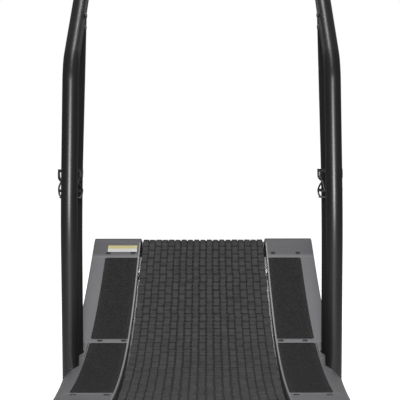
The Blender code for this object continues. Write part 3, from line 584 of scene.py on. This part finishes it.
GUARD_GAP, SEAL_WALL = 0.001, 0.005
guard_reach = COVER_INNER - GUARD_GAP
guard_rows = []
for s in [-nose_end] + spaced(-nose_turn, -NOSE_RADIUS * (FRONT_SLOPE + math.radians(35.0)), 12):
    y, z = deck_point(s, 0.0, NOSE_RADIUS)[0]
    guard_rows.append([(x, y, z) for x in spaced(-guard_reach, guard_reach, 12)])
guard = soft_shade(skin("front_guard_sheet", guard_rows, False, 0.002))
fit_piece(guard, cover_plastic, "cover_grey", "front_guard")
seal_rubber = worn_finish("edge_seal", 0.010, 0.016, 0.04, 0.8, 0.1, 400.0, 0.00005)
seal_edges = guard_reach - 0.0004, COVER_INNER - 0.0001
for word, side in SIDES:
    seal_rows = [[(side * x, y + 0.0006, z) for x in seal_edges] for (_, y, z), *_ in guard_rows]
    seal = skin(f"guard_edge_seal_{word}", seal_rows, side > 0, SEAL_WALL)
    seal.data.transform(Matrix.Translation((0.0, -0.0012, 0.0)))
    fit_piece(seal, seal_rubber, "black_plastic")


# ----------------------------------------------
# Grip pads. Self-adhesive strips of coarse black grit on the covers, for standing astride the
# belt. Each has rounded corners and follows the curve beneath it.

PAD_LIFT, PAD_THICKNESS, PAD_CORNER = 0.0003, 0.0018, 0.009
grit = worn_finish("grip_grit", (0.008, 0.008, 0.0085), (0.036, 0.036, 0.035), 0.090, 0.96, 0.06, 420.0,
                   0.0006, patch_scale=170.0, patch_amount=0.8, edge_amount=0.3, grain_tint=0.12,
                   specular=0.12)


def strip_on_cover(name, side, inner, outer, start, end, lift, thick, corner, count):
    """A thin flat strip that lies on a cover, with its outer corners rounded."""
    rows = []
    turn = [corner * (1.0 - math.cos(t)) for t in spaced(0.0, math.pi / 2, 6)]
    ends = [start + step for step in turn]
    middle = spaced(start + corner * 1.5, end - corner * 1.5, count)
    for s in ends + middle + [end - d for d in reversed(turn)]:
        inset = max(corner - min(s - start, end - s), 0.0)
        cut = corner - math.sqrt(max(corner ** 2 - inset ** 2, 0.0))
        rise = COVER_RISE * s / RUN_LENGTH + lift
        y, z = deck_point(s, rise, NOSE_RADIUS)[0]
        rows.append([(side * x, y, z) for x in spaced(inner, outer - cut, 6)])
    return skin(name, rows, side < 0, thick, 1.0)


for word, side in SIDES:
    for end, start, stop in (("front", 0.119, 0.728), ("rear", 0.769, 1.337)):
        pad = strip_on_cover(f"{end}_grit_strip_{word}", side, PAD_INNER, PAD_OUTER, start, stop,
                             PAD_LIFT, PAD_THICKNESS, PAD_CORNER, 40)
        fit_piece(soft_shade(pad), grit, "grip_grit", f"{end}_grip_pad_{word}")


# ----------------------------------------------
# Edge highlights. Light satin strips laid over the inner edge of each cover as a painted highlight of the
# rounded lip, bright against the black pads, in the same lengths as the covers.

HIGHLIGHT_STRIP_INNER, HIGHLIGHT_STRIP_OUTER = COVER_INNER + 0.0008, COVER_INNER + 0.0044
# The light colour of these strips is a painted highlight along the cover lip.
trim_metal = worn_finish("trim_metal", (0.34, 0.34, 0.35), (0.28, 0.28, 0.29), 0.55, 0.42, 0.12, 900.0,
                         0.00001, patch_scale=12.0, metallic=0.6)
for word, side in SIDES:
    for length, start, stop in (("cap", 0.004, 0.0975), ("front", 0.1005, 0.7550),
                                ("rear", 0.7585, 1.3440), ("tail", 1.3470, 1.5900)):
        highlight_strip = strip_on_cover(f"{length}_edge_trim_{word}", side, HIGHLIGHT_STRIP_INNER, HIGHLIGHT_STRIP_OUTER, start, stop,
                              0.0001, 0.0012, 0.0008, 46)
        fit_piece(soft_shade(highlight_strip), trim_metal, "bare_steel")


# ----------------------------------------------
# Label. A blank self-adhesive film in two colours on the left front cap, yellow above and white
# below. It carries no lettering.

LABEL_INNER, LABEL_OUTER = 0.234, 0.337
LABEL_BANDS = (("yellow", 0.0260, 0.0490, (0.50, 0.44, 0.18), (0.56, 0.50, 0.24), (0.75, 0.68, 0.40)),
               ("white", 0.0493, 0.0725, (0.56, 0.56, 0.55), (0.62, 0.62, 0.61), 0.80))
for colour, start, stop, *shades in LABEL_BANDS:
    film = worn_finish(f"label_{colour}", *shades, 0.42, 0.10, 300.0, 0.00005, coat=0.2)
    band = strip_on_cover(f"label_{colour}", -1, LABEL_INNER, LABEL_OUTER, start, stop,
                          0.0004, 0.0005, 0.0012, 8)
    fit_piece(band, film, "label_stock", "blank_label")


# ----------------------------------------------
# Cover screws. Black socket button heads in shallow cups, two at each seam of each cover. Larger
# heads of the same kind hold the front posts and the foot plates.

screw_black = worn_finish("screw_black", 0.012, 0.022, 0.30, 0.40, 0.15, 900.0, 0.0001, metallic=0.4)


def turned_piece(name, profile, steps=28):
    """A piece turned about Z from (radius, height) points, read from the top down."""
    bm = bmesh.new()
    rings = []
    for radius, height in profile:
        if radius < 0.00001:
            rings.append([bm.verts.new((0.0, 0.0, height))])
        else:
            turns = [math.tau * i / steps for i in range(steps)]
            rings.append([bm.verts.new((radius * math.cos(t), radius * math.sin(t), height)) for t in turns])
    for upper, lower in zip(rings, rings[1:]):
        for i in range(steps):
            k = (i + 1) % steps
            corners = [ring[j % len(ring)] for ring, j in ((upper, i), (lower, i), (lower, k), (upper, k))]
            corners = [v for j, v in enumerate(corners) if v not in corners[:j]]
            if len(corners) > 2:
                bm.faces.new(corners)
    bmesh.ops.recalc_face_normals(bm, faces=bm.faces)
    return soft_shade(mesh_piece(name, bm))


def screw_head(radius, height):
    """A button head with a hexagon socket, standing in a dark cup."""
    socket = radius * 0.42
    profile = [(0.0, height * 0.25), (socket * 0.9, height * 0.25), (socket, height), (radius * 0.72, height),
               (radius * 0.95, height * 0.55), (radius, 0.0), (0.0, 0.0)]
    return turned_piece("screw_pattern", profile, 18)


def add_screws(name, pattern, places, finish):
    fit_piece(soft_shade(copies_of(name, pattern, places, finish)), finish, "frame_paint")


screw_places = []
for side in (-1, 1):
    for s, offsets in ((0.081, (0.247, 0.334)), (0.744, (0.240, 0.313)), (1.369, (0.244, 0.330))):
        for x in offsets:
            rise = COVER_RISE * s / RUN_LENGTH - 0.0002
            (y, z), slope = deck_point(s, rise, NOSE_RADIUS)
            screw_places.append(((side * x, y, z), (slope, 0.0, 0.0)))
add_screws("cover_screws", screw_head(0.0058, 0.0024), screw_places, screw_black)
cup_black = worn_finish("screw_cup", 0.004, 0.006, 0.05, 0.6, 0.1, 400.0, 0.0001)
cup_profile = [(0.0056, 0.0004), (0.0076, 0.0011), (0.0086, 0.0008), (0.0088, 0.0), (0.0056, 0.0),
               (0.0056, 0.0004)]
add_screws("screw_cups", turned_piece("cup_pattern", cup_profile, 24), screw_places, cup_black)


# ----------------------------------------------
# Handrails and front posts. Steel tube 48 mm across, bent cold and powder coated satin black.
# Each front post is coped to its handrail and held by two button heads.

satin_black = worn_finish("satin_black_coat", (0.0065, 0.0065, 0.0068), (0.010, 0.010, 0.0105), 0.05,
                          0.37, 0.06, 700.0, 0.000003, patch_scale=5.0, patch_amount=0.4, edge_amount=0.1)
BEND_STEP = math.radians(3.0)
BAR_Y, BAR_Z = front_y - 0.140, 1.555
BAR_END = 0.2
COPE_GAP = 0.0006
foot_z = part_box("foot_plate_left")[1].z + 0.0005


def bent_route(corners, radii):
    """Straight runs between corners, with each inner corner turned on its own radius."""
    corners = [Vector(corner) for corner in corners]
    route = [corners[0]]
    for before, corner, after, radius in zip(corners, corners[1:], corners[2:], radii):
        inward, outward = (before - corner).normalized(), (after - corner).normalized()
        turn = math.pi - inward.angle(outward)
        centre = corner + (inward + outward).normalized() * (radius / math.cos(turn / 2))
        start = corner + inward * radius * math.tan(turn / 2) - centre
        axis = start.cross(corner + outward * radius * math.tan(turn / 2) - centre).normalized()
        count = max(3, math.ceil(turn / BEND_STEP))
        route += [centre + Matrix.Rotation(turn * i / count, 3, axis) @ start for i in range(count + 1)]
    return route + [corners[-1]]


def tube_piece(name, route, radius, resolution=14):
    """A tube along a route, as a closed mesh."""
    curve = bpy.data.curves.new(name, "CURVE")
    curve.dimensions = "3D"
    curve.bevel_depth = radius
    curve.bevel_resolution = resolution
    curve.use_fill_caps = True
    spline = curve.splines.new("POLY")
    spline.points.add(len(route) - 1)
    for point, place in zip(spline.points, route):
        point.co = (*place, 1.0)
    spline.use_smooth = True
    obj = plain_mesh(new_object(name + "_route", curve), name)
    bm = bmesh.new()
    bm.from_mesh(obj.data)
    bmesh.ops.remove_doubles(bm, verts=bm.verts, dist=0.00001)
    bm.to_mesh(obj.data)
    bm.free()
    return soft_shade(obj, 50.0)


bend_place = (front_y - 0.842, 1.112)
post_top = (front_y - 0.585, 1.274)
for word, side in SIDES:
    x = side * TUBE_X
    bar_corner = (x, BAR_Y, BAR_Z)
    rail_route = bent_route([(x, HANDRAIL_Y, foot_z), (x, HANDRAIL_Y, 0.680), (x, *bend_place), bar_corner,
                             (side * (BAR_END + 0.0004), BAR_Y, BAR_Z)], (1.000, 0.130, 0.090))
    rail = tube_piece(f"handrail_tube_{word}", rail_route, TUBE_RADIUS)
    fit_piece(rail, satin_black, "satin_black", f"handrail_{word}")
    post_route = bent_route([(x, POST_Y, foot_z + 0.0003), (x, front_y - 0.796, 0.700), (x, *post_top)],
                            (1.000,))
    post = cut_by(tube_piece(f"front_post_tube_{word}", post_route, TUBE_RADIUS),
                  bar_between((x, *bend_place), bar_corner, TUBE_RADIUS + COPE_GAP))
    fit_piece(soft_shade(post, 50.0), satin_black, "satin_black", f"front_post_{word}")
bar_ends = [(x, BAR_Y, BAR_Z) for x in (0.0004 - BAR_END, BAR_END - 0.0004)]
fit_piece(tube_piece("crossbar_tube", bar_ends, TUBE_RADIUS), satin_black, "satin_black", "console_crossbar")
post_bolts = []
for side in (-1, 1):
    for y, z in ((front_y - 0.640, 1.225), (front_y - 0.61965, 1.262)):
        post_bolts.append(((side * (TUBE_X - TUBE_RADIUS + 0.0006), y, z), (0.0, -side * math.pi / 2, 0.0)))
add_screws("post_bolts", screw_head(0.0075, 0.0045), post_bolts, screw_black)


# ----------------------------------------------
# Bottle cages. Black nylon cages bolted to the back of each front post: an upper hoop, a waisted
# pair of strands on each side, a lower hoop and a cross-shaped floor.

CAGE_RADIUS, HOOP_WALL = 0.0345, 0.0030
CAGE_SHIFT = -0.0045
CAGE_Y = front_y - 0.8405
CAGE_TOP, CAGE_WAIST, CAGE_LOW, CAGE_FLOOR = 0.802, 0.772, 0.744, 0.724
cage_nylon = worn_finish("cage_nylon", 0.010, 0.018, 0.06, 0.42, 0.12, 800.0, 0.00015, edge_amount=0.4)


def joined(name, pieces):
    """Several pieces put into one mesh."""
    bm = bmesh.new()
    for piece in pieces:
        piece.data.transform(piece.matrix_world)
        bm.from_mesh(piece.data)
        bpy.data.objects.remove(piece, do_unlink=True)
    return mesh_piece(name, bm)


def hoop(x, height, tall):
    bm = bmesh.new()
    turns = spaced(0.0, math.tau, 49)[:-1]
    rings = []
    for out, up in ((-1, -1), (1, -1), (1, 1), (-1, 1)):
        radius, z = CAGE_RADIUS + out * HOOP_WALL / 2, height + up * tall / 2
        rings.append([bm.verts.new((x + radius * math.cos(t), CAGE_Y + radius * math.sin(t), z))
                      for t in turns])
    for ring, following in zip(rings, rings[1:] + rings[:1]):
        for i in range(len(turns)):
            k = (i + 1) % len(turns)
            bm.faces.new((ring[i], ring[k], following[k], following[i]))
    bmesh.ops.recalc_face_normals(bm, faces=bm.faces)
    return mesh_piece("hoop", bm)


def rounded_block(name, corner, opposite, bevel, segments=3):
    obj = box_between(corner, opposite)
    bpy.ops.object.transform_apply(location=False, rotation=False, scale=True)
    round_off = obj.modifiers.new("rounding", "BEVEL")
    round_off.width = bevel
    round_off.segments = segments
    return soft_shade(plain_mesh(obj, name), 40.0)


def beside_bottle(x, turn, height, reach):
    """A point beside the bottle, at so many degrees round it from the runner's side."""
    turn, radius = math.radians(turn), CAGE_RADIUS * reach
    return (x + radius * math.sin(turn), CAGE_Y - radius * math.cos(turn), height)


def cage_strip(x, corners, radius):
    """A nylon strand through corners given as (turn in degrees, height, share of the radius)."""
    corners = np.array(corners)
    stations = [before + (after - before) * share for before, after in zip(corners, corners[1:])
                for share in spaced(0.0, 1.0, 7)[:-1]]
    route = [beside_bottle(x, *station) for station in stations + [corners[-1]]]
    return tube_piece("strand", route, radius, 4)


for word, side in SIDES:
    x = side * TUBE_X + CAGE_SHIFT
    pieces = [hoop(x, CAGE_TOP, 0.0062), hoop(x, CAGE_LOW, 0.0050)]
    for hand in (-1, 1):
        pieces.append(cage_strip(x, [(hand * 96, CAGE_TOP + 0.004, 1.0), (hand * 84, CAGE_TOP - 0.018, 1.0),
                                     (hand * 44, CAGE_WAIST, 1.0), (hand * 88, CAGE_LOW, 1.0),
                                     (hand * 84, 0.733, 0.96), (hand * 80, CAGE_FLOOR, 0.80)], 0.0026))
        pieces.append(cage_strip(x, [(hand * 62, CAGE_TOP, 1.0), (hand * 60, 0.786, 1.0),
                                     (hand * 44, CAGE_WAIST, 1.0), (hand * 30, CAGE_LOW, 1.0)], 0.0022))
        pieces.append(cage_strip(x, [(hand * 84, CAGE_TOP - 0.018, 1.0), (hand * 60, 0.786, 1.0)], 0.0022))
    for wide, deep in ((0.012, 0.032), (0.032, 0.012)):
        pieces.append(rounded_block("floor_bar", (x - wide, CAGE_Y - deep, CAGE_FLOOR - 0.0018),
                                    (x + wide, CAGE_Y + deep, CAGE_FLOOR + 0.0018), 0.0012))
    pieces.append(rounded_block("back_plate", (x - 0.010, CAGE_Y + CAGE_RADIUS - 0.002, CAGE_FLOOR),
                                (x + 0.010, CAGE_Y + CAGE_RADIUS + 0.003, CAGE_TOP + 0.006), 0.0015))
    cage = soft_shade(joined(f"cage_frame_{word}", pieces))
    fit_piece(cage, cage_nylon, "black_plastic", f"bottle_cage_{word}")


# ----------------------------------------------
# Base frame. Two long rails of rectangular steel tube joined by three square cross members, all
# powder coated dark grey, with plastic plugs in the rail ends and plates that the tubes stand on.

frame_coat = worn_finish("frame_coat", (0.032, 0.032, 0.034), (0.050, 0.050, 0.052), 0.16, 0.46, 0.12,
                         700.0, 0.00015)
for name in ("base_rail_left", "base_rail_right", "cross_member_front", "cross_member_middle",
             "cross_member_rear", "foot_plate_left", "foot_plate_right"):
    bar = rounded_block(name + "_section", *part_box(name), 0.003 if "plate" in name else 0.006)
    fit_piece(bar, frame_coat, "frame_paint", name)
for name in ("side_plate_left", "side_plate_right", "console_clamp"):
    coat_with(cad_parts[name], frame_coat)

plate_bolts = []
for word, side in SIDES:
    low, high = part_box(f"foot_plate_{word}")
    for x in (low.x + 0.009, high.x - 0.009):
        for y in (low.y + 0.010, (low.y + high.y) / 2, high.y - 0.010):
            plate_bolts.append(((x, y, high.z - 0.0002), (0.0, 0.0, 0.0)))
add_screws("foot_plate_bolts", screw_head(0.006, 0.004), plate_bolts, screw_black)

end_plug = worn_finish("end_plug", 0.012, 0.02, 0.05, 0.6, 0.1, 500.0, 0.0002)
plugs = []
for word, side in SIDES:
    low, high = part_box(f"base_rail_{word}")
    for y, outward in ((low.y, -1), (high.y, 1)):
        plugs.append(rounded_block("plug", (low.x + 0.003, y - outward * 0.002, low.z + 0.003),
                                   (high.x - 0.003, y + outward * 0.0035, high.z - 0.003), 0.0025))
fit_piece(soft_shade(joined("rail_end_plugs", plugs), 40.0), end_plug, "black_plastic")


# ----------------------------------------------
# Drums, shafts and rollers. Ground steel shafts in flanged bearings carry cast pulleys, and rows
# of ball-bearing rollers on a curved bar hold up the running side of the belt.

bright_steel = worn_finish("bright_steel", (0.50, 0.50, 0.51), (0.40, 0.40, 0.42), (0.75, 0.75, 0.76),
                           0.28, 0.15, 1200.0, 0.00005, patch_scale=20.0, metallic=1.0)
cast_iron = worn_finish("cast_pulley", (0.045, 0.045, 0.047), (0.07, 0.07, 0.072), 0.20, 0.55, 0.12,
                        500.0, 0.0003, edge_amount=0.6, metallic=0.3)
for name in ("shaft", "bearing_left", "bearing_right"):
    for end in ("front", "rear"):
        coat_with(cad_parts[f"{end}_{name}"], bright_steel)
PULLEY_X = 0.175
pulley_profile = [(0.0131, 0.030), (0.029, 0.030), (0.030, 0.029), (0.030, 0.022), (0.0604, 0.022),
                  (0.0610, 0.0214), (0.0610, 0.016), (0.0585, 0.014), (0.0585, -0.014), (0.0610, -0.016),
                  (0.0610, -0.0214), (0.0604, -0.022), (0.0131, -0.022), (0.0131, 0.030)]


def placed(obj, matrix, angle=32.0):
    """The object moved by a matrix, with its place put into its mesh."""
    obj.matrix_world = matrix @ obj.matrix_world
    return soft_shade(plain_mesh(obj), angle)


for word, side in SIDES:
    coat_with(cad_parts[f"roller_track_{word}"], bright_steel)
for end, s in (("front", 0.0), ("rear", RUN_LENGTH)):
    y, z = drum_centre(s)
    for word, side in SIDES:
        place = Matrix.Translation((side * PULLEY_X, y, z)) @ Matrix.Rotation(-side * math.pi / 2, 4, "Y")
        wheel = placed(turned_piece(f"{end}_pulley_wheel_{word}", pulley_profile, 56), place)
        fit_piece(wheel, cast_iron, "frame_paint", f"{end}_pulley_{word}", body=f"{end}_axle")


# ----------------------------------------------
# Belt-edge brackets. Small bright zinc-plated clips seen in the gap between cap and belt, which
# hold the end of each roller track to its side plate.

clips = []
for side in (-1, 1):
    for s in (0.183, 0.198):
        y, z = deck_point(s, -0.008, NOSE_RADIUS)[0]
        clips.append(rounded_block("clip", (side * 0.2185, y - 0.004, z - 0.014),
                                   (side * 0.2222, y + 0.004, z), 0.0008))
fit_piece(soft_shade(joined("track_clips", clips), 40.0), bright_steel, "bare_steel")


# ----------------------------------------------
# Console. A moulded housing with a smoked window and three rubber push buttons, which tilts on a
# pin in a clamp round the crossbar. The display shows nothing when the belt stands still.

PIN_Y, PIN_Z, LEAN = front_y - 0.185, 1.548, math.radians(-20.0)
tilt = Matrix.Translation((0.0, PIN_Y, PIN_Z)) @ Matrix.Rotation(LEAN, 4, "X")
housing_plastic = worn_finish("housing_plastic", (0.011, 0.011, 0.0115), 0.018, 0.05, 0.44, 0.10, 1300.0,
                              0.0002, edge_amount=0.4)
bezel_grey = worn_finish("bezel_grey", (0.11, 0.11, 0.115), (0.14, 0.14, 0.145), 0.22, 0.35, 0.10, 1300.0,
                         0.0001)
smoked = worn_finish("smoked_window", (0.006, 0.009, 0.010), (0.008, 0.011, 0.012), (0.010, 0.012, 0.013),
                     0.07, 0.03, 60.0, 0.00001, coat=0.6)
button_rubber = worn_finish("button_rubber", (0.16, 0.16, 0.165), 0.19, 0.26, 0.75, 0.10, 800.0, 0.0002)
BACK, FACE = -0.016, -0.050
BUTTON_X, BUTTON_Z, WELL_RADIUS = (-0.055, 0.0, 0.055), -0.055, 0.0096
LENS_X, LENS_LOW, LENS_HIGH = 0.0848, -0.0248, 0.0648


def window_box(margin, low, high):
    """Opposite corners of a box that is a margin wider than the window, from low to high in depth."""
    return ((-LENS_X - margin, FACE + low, LENS_LOW - margin),
            (LENS_X + margin, FACE + high, LENS_HIGH + margin))


housing = rounded_block("console_body", (-0.130, FACE, -0.090), (0.130, BACK, 0.080), 0.009, 5)
housing = cut_by(housing, box_between(*window_box(0.0007, -0.01, 0.0025)))
for x in BUTTON_X:
    well = bar_between((x, FACE - 0.01, BUTTON_Z), (x, FACE + 0.0057, BUTTON_Z), WELL_RADIUS, 48)
    housing = cut_by(housing, well)
parts = [housing]
for side in (-1, 1):
    parts.append(rounded_block("lug", (side * 0.0305, BACK - 0.002, -0.008), (side * 0.0365, 0.008, 0.008),
                               0.0025, 4))
parts.append(plain_mesh(bar_between((-0.0365, 0.0, 0.0), (0.0365, 0.0, 0.0), 0.004, 32)))
housing = placed(joined("console_body", parts), tilt, 40.0)
fit_piece(housing, housing_plastic, "black_plastic", "console_housing", body="console")

bezel = rounded_block("window_bezel", *window_box(0.0052, -0.0012, 0.0004), 0.0007, 2)
bezel = cut_by(bezel, box_between(*window_box(0.0002, -0.01, 0.01)))
fit_piece(placed(bezel, tilt, 40.0), bezel_grey, "black_plastic", body="console")
lens = rounded_block("window_lens", *window_box(0.0, 0.0003, 0.0022), 0.0006, 2)
fit_piece(placed(lens, tilt, 40.0), smoked, "lens_tint", "console_window", body="console")

button_profile = [(0.0, 0.0013), (0.004, 0.0015), (0.0070, 0.0013), (0.0085, 0.0006),
                  (0.0090, -0.0004), (0.0090, -0.0035), (0.0, -0.0035)]
for index, x in enumerate(BUTTON_X, 1):
    place = tilt @ Matrix.Translation((x, FACE, BUTTON_Z)) @ Matrix.Rotation(math.pi / 2, 4, "X")
    cap = placed(turned_piece(f"button_cap_{index}", button_profile, 36), place, 40.0)
    fit_piece(cap, button_rubber, "moulded_rubber", f"console_button_{index}", body=f"button_{index}")


# ----------------------------------------------
# Feet, wheels and lift handle. Screw-in levelling feet with moulded rubber pads, two solid
# transport wheels on pins at the front, and a bent bar at the back to tip the machine up by.

foot_rubber = worn_finish("foot_rubber", 0.018, 0.028, 0.06, 0.85, 0.10, 500.0, 0.0003)
tyre_rubber = worn_finish("tyre_rubber", (0.030, 0.030, 0.031), 0.045, 0.09, 0.80, 0.12, 600.0, 0.0003,
                          edge_amount=0.7)
foot_profile = [(0.006, 0.0215), (0.0125, 0.0205), (0.0125, 0.0150), (0.0175, 0.0125), (0.0240, 0.0080),
                (0.0258, 0.0060), (0.0260, 0.0045), (0.0260, 0.0010), (0.0250, 0.0), (0.0, 0.0)]
for end in ("front", "rear"):
    for word, side in SIDES:
        node = f"{end}_foot_{word}"
        low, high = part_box(node)
        foot = turned_piece(f"{end}_foot_pad_{word}", [(0.0, high.z), (0.006, high.z)] + foot_profile, 40)
        foot = placed(foot, Matrix.Translation(((low.x + high.x) / 2, (low.y + high.y) / 2, 0.0)))
        fit_piece(foot, foot_rubber, "moulded_rubber", node, body=node)

outer_half = [(0.0068, 0.014), (0.014, 0.014), (0.015, 0.0115), (0.026, 0.0105), (0.028, 0.013),
              (0.034, 0.0135), (0.0375, 0.011), (0.0392, 0.007)]
inner_half = [(radius, -x) for radius, x in reversed(outer_half)]
for word, side in SIDES:
    low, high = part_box(f"transport_wheel_{word}")
    wheel = turned_piece(f"wheel_tyre_{word}", outer_half + [(0.0400, 0.0)] + inner_half + outer_half[:1], 56)
    wheel = placed(wheel, Matrix.Translation((low + high) / 2) @ Matrix.Rotation(math.pi / 2, 4, "Y"))
    fit_piece(wheel, tyre_rubber, "moulded_rubber", f"transport_wheel_{word}", body=f"wheel_{word}")
    coat_with(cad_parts[f"wheel_bracket_{word}"], frame_coat)

HANDLE_RADIUS, HANDLE_X = 0.0125, 0.200
low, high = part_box("lift_handle")
z, grip_y = (low.z + high.z) / 2, low.y + HANDLE_RADIUS
corners = [(side * HANDLE_X, y, z) for side, y in ((-1, high.y), (-1, grip_y), (1, grip_y), (1, high.y))]
handle = tube_piece("lift_bar", bent_route(corners, (0.035, 0.035)), HANDLE_RADIUS, 10)
fit_piece(handle, satin_black, "satin_black", "lift_handle")


# ----------------------------------------------
# Studio. A floor and a world that look white to the camera alone, soft lamps, and the camera
# behind the machine at the height of the runner's waist.


def seen_by_camera(tree, socket, value, otherwise):
    """Gives a socket one value for what the camera sees directly, and another for other light."""
    seen = tree.nodes.new("ShaderNodeLightPath")
    level = tree.nodes.new("ShaderNodeMapRange")
    level.inputs["To Min"].default_value = otherwise
    level.inputs["To Max"].default_value = value
    tree.links.new(seen.outputs["Is Camera Ray"], level.inputs["Value"])
    tree.links.new(level.outputs[0], socket)


world = bpy.data.worlds.new("studio")
bpy.context.scene.world = world
world.use_nodes = True
sky = world.node_tree.nodes["Background"]
sky.inputs["Color"].default_value = (1.0, 1.0, 1.0, 1.0)
seen_by_camera(world.node_tree, sky.inputs["Strength"], 1.0, 0.15)
bpy.context.scene.view_settings.view_transform = "Standard"

floor_paint = worn_finish("floor_paint", 0.90, 0.93, 0.94, 0.9, 0.05, 40.0, 0.00001, patch_scale=0.5,
                          edge_amount=0.0)
floor_shader = floor_paint.node_tree.nodes["Principled BSDF"]
floor_shader.inputs["Emission Color"].default_value = (1.0, 1.0, 1.0, 1.0)
seen_by_camera(floor_paint.node_tree, floor_shader.inputs["Emission Strength"], 0.88, 0.0)
bpy.ops.mesh.primitive_plane_add(size=60.0, location=(0.0, 0.0, -0.0005))
floor = bpy.context.object
floor.name = "studio_floor"
coat_with(floor, floor_paint)


def soft_light(name, place, target, size, power, mirrored=True):
    """A flat lamp. One that is not mirrored lights the surfaces but shows in none of them."""
    lamp = bpy.data.lights.new(name, "AREA")
    lamp.shape = "RECTANGLE"
    lamp.size, lamp.size_y = size
    lamp.energy = power
    obj = new_object(name, lamp)
    obj.location = place
    obj.rotation_euler = (Vector(target) - Vector(place)).to_track_quat("-Z", "Y").to_euler()
    obj.visible_glossy = mirrored


soft_light("key", (0.02, -4.1, 1.95), (0.0, -0.17, 0.9), (0.50, 1.2), 190.0)
soft_light("overhead_strip", (0.0, 0.3, 3.4), (0.0, 0.0, 0.3), (0.34, 4.4), 34.0)
soft_light("overhead_fill", (0.0, 0.6, 3.4), (0.0, 0.0, 0.3), (3.0, 3.0), 20.0, mirrored=False)
soft_light("rim", (0.0, 3.0, 2.4), (0.0, 0.5, 0.5), (2.6, 0.9), 7.0)

lens_data = bpy.data.cameras.new("camera")
lens_data.lens = 115.6
camera = new_object("camera", lens_data)
camera.matrix_world = (Matrix.Translation((0.018, front_y - 4.575, front_z + 0.552))
                       @ Matrix.Rotation(math.radians(0.356), 4, "Z")
                       @ Matrix.Rotation(math.radians(85.0), 4, "X")
                       @ Matrix.Rotation(math.radians(-0.14), 4, "Z"))
bpy.context.scene.camera = camera
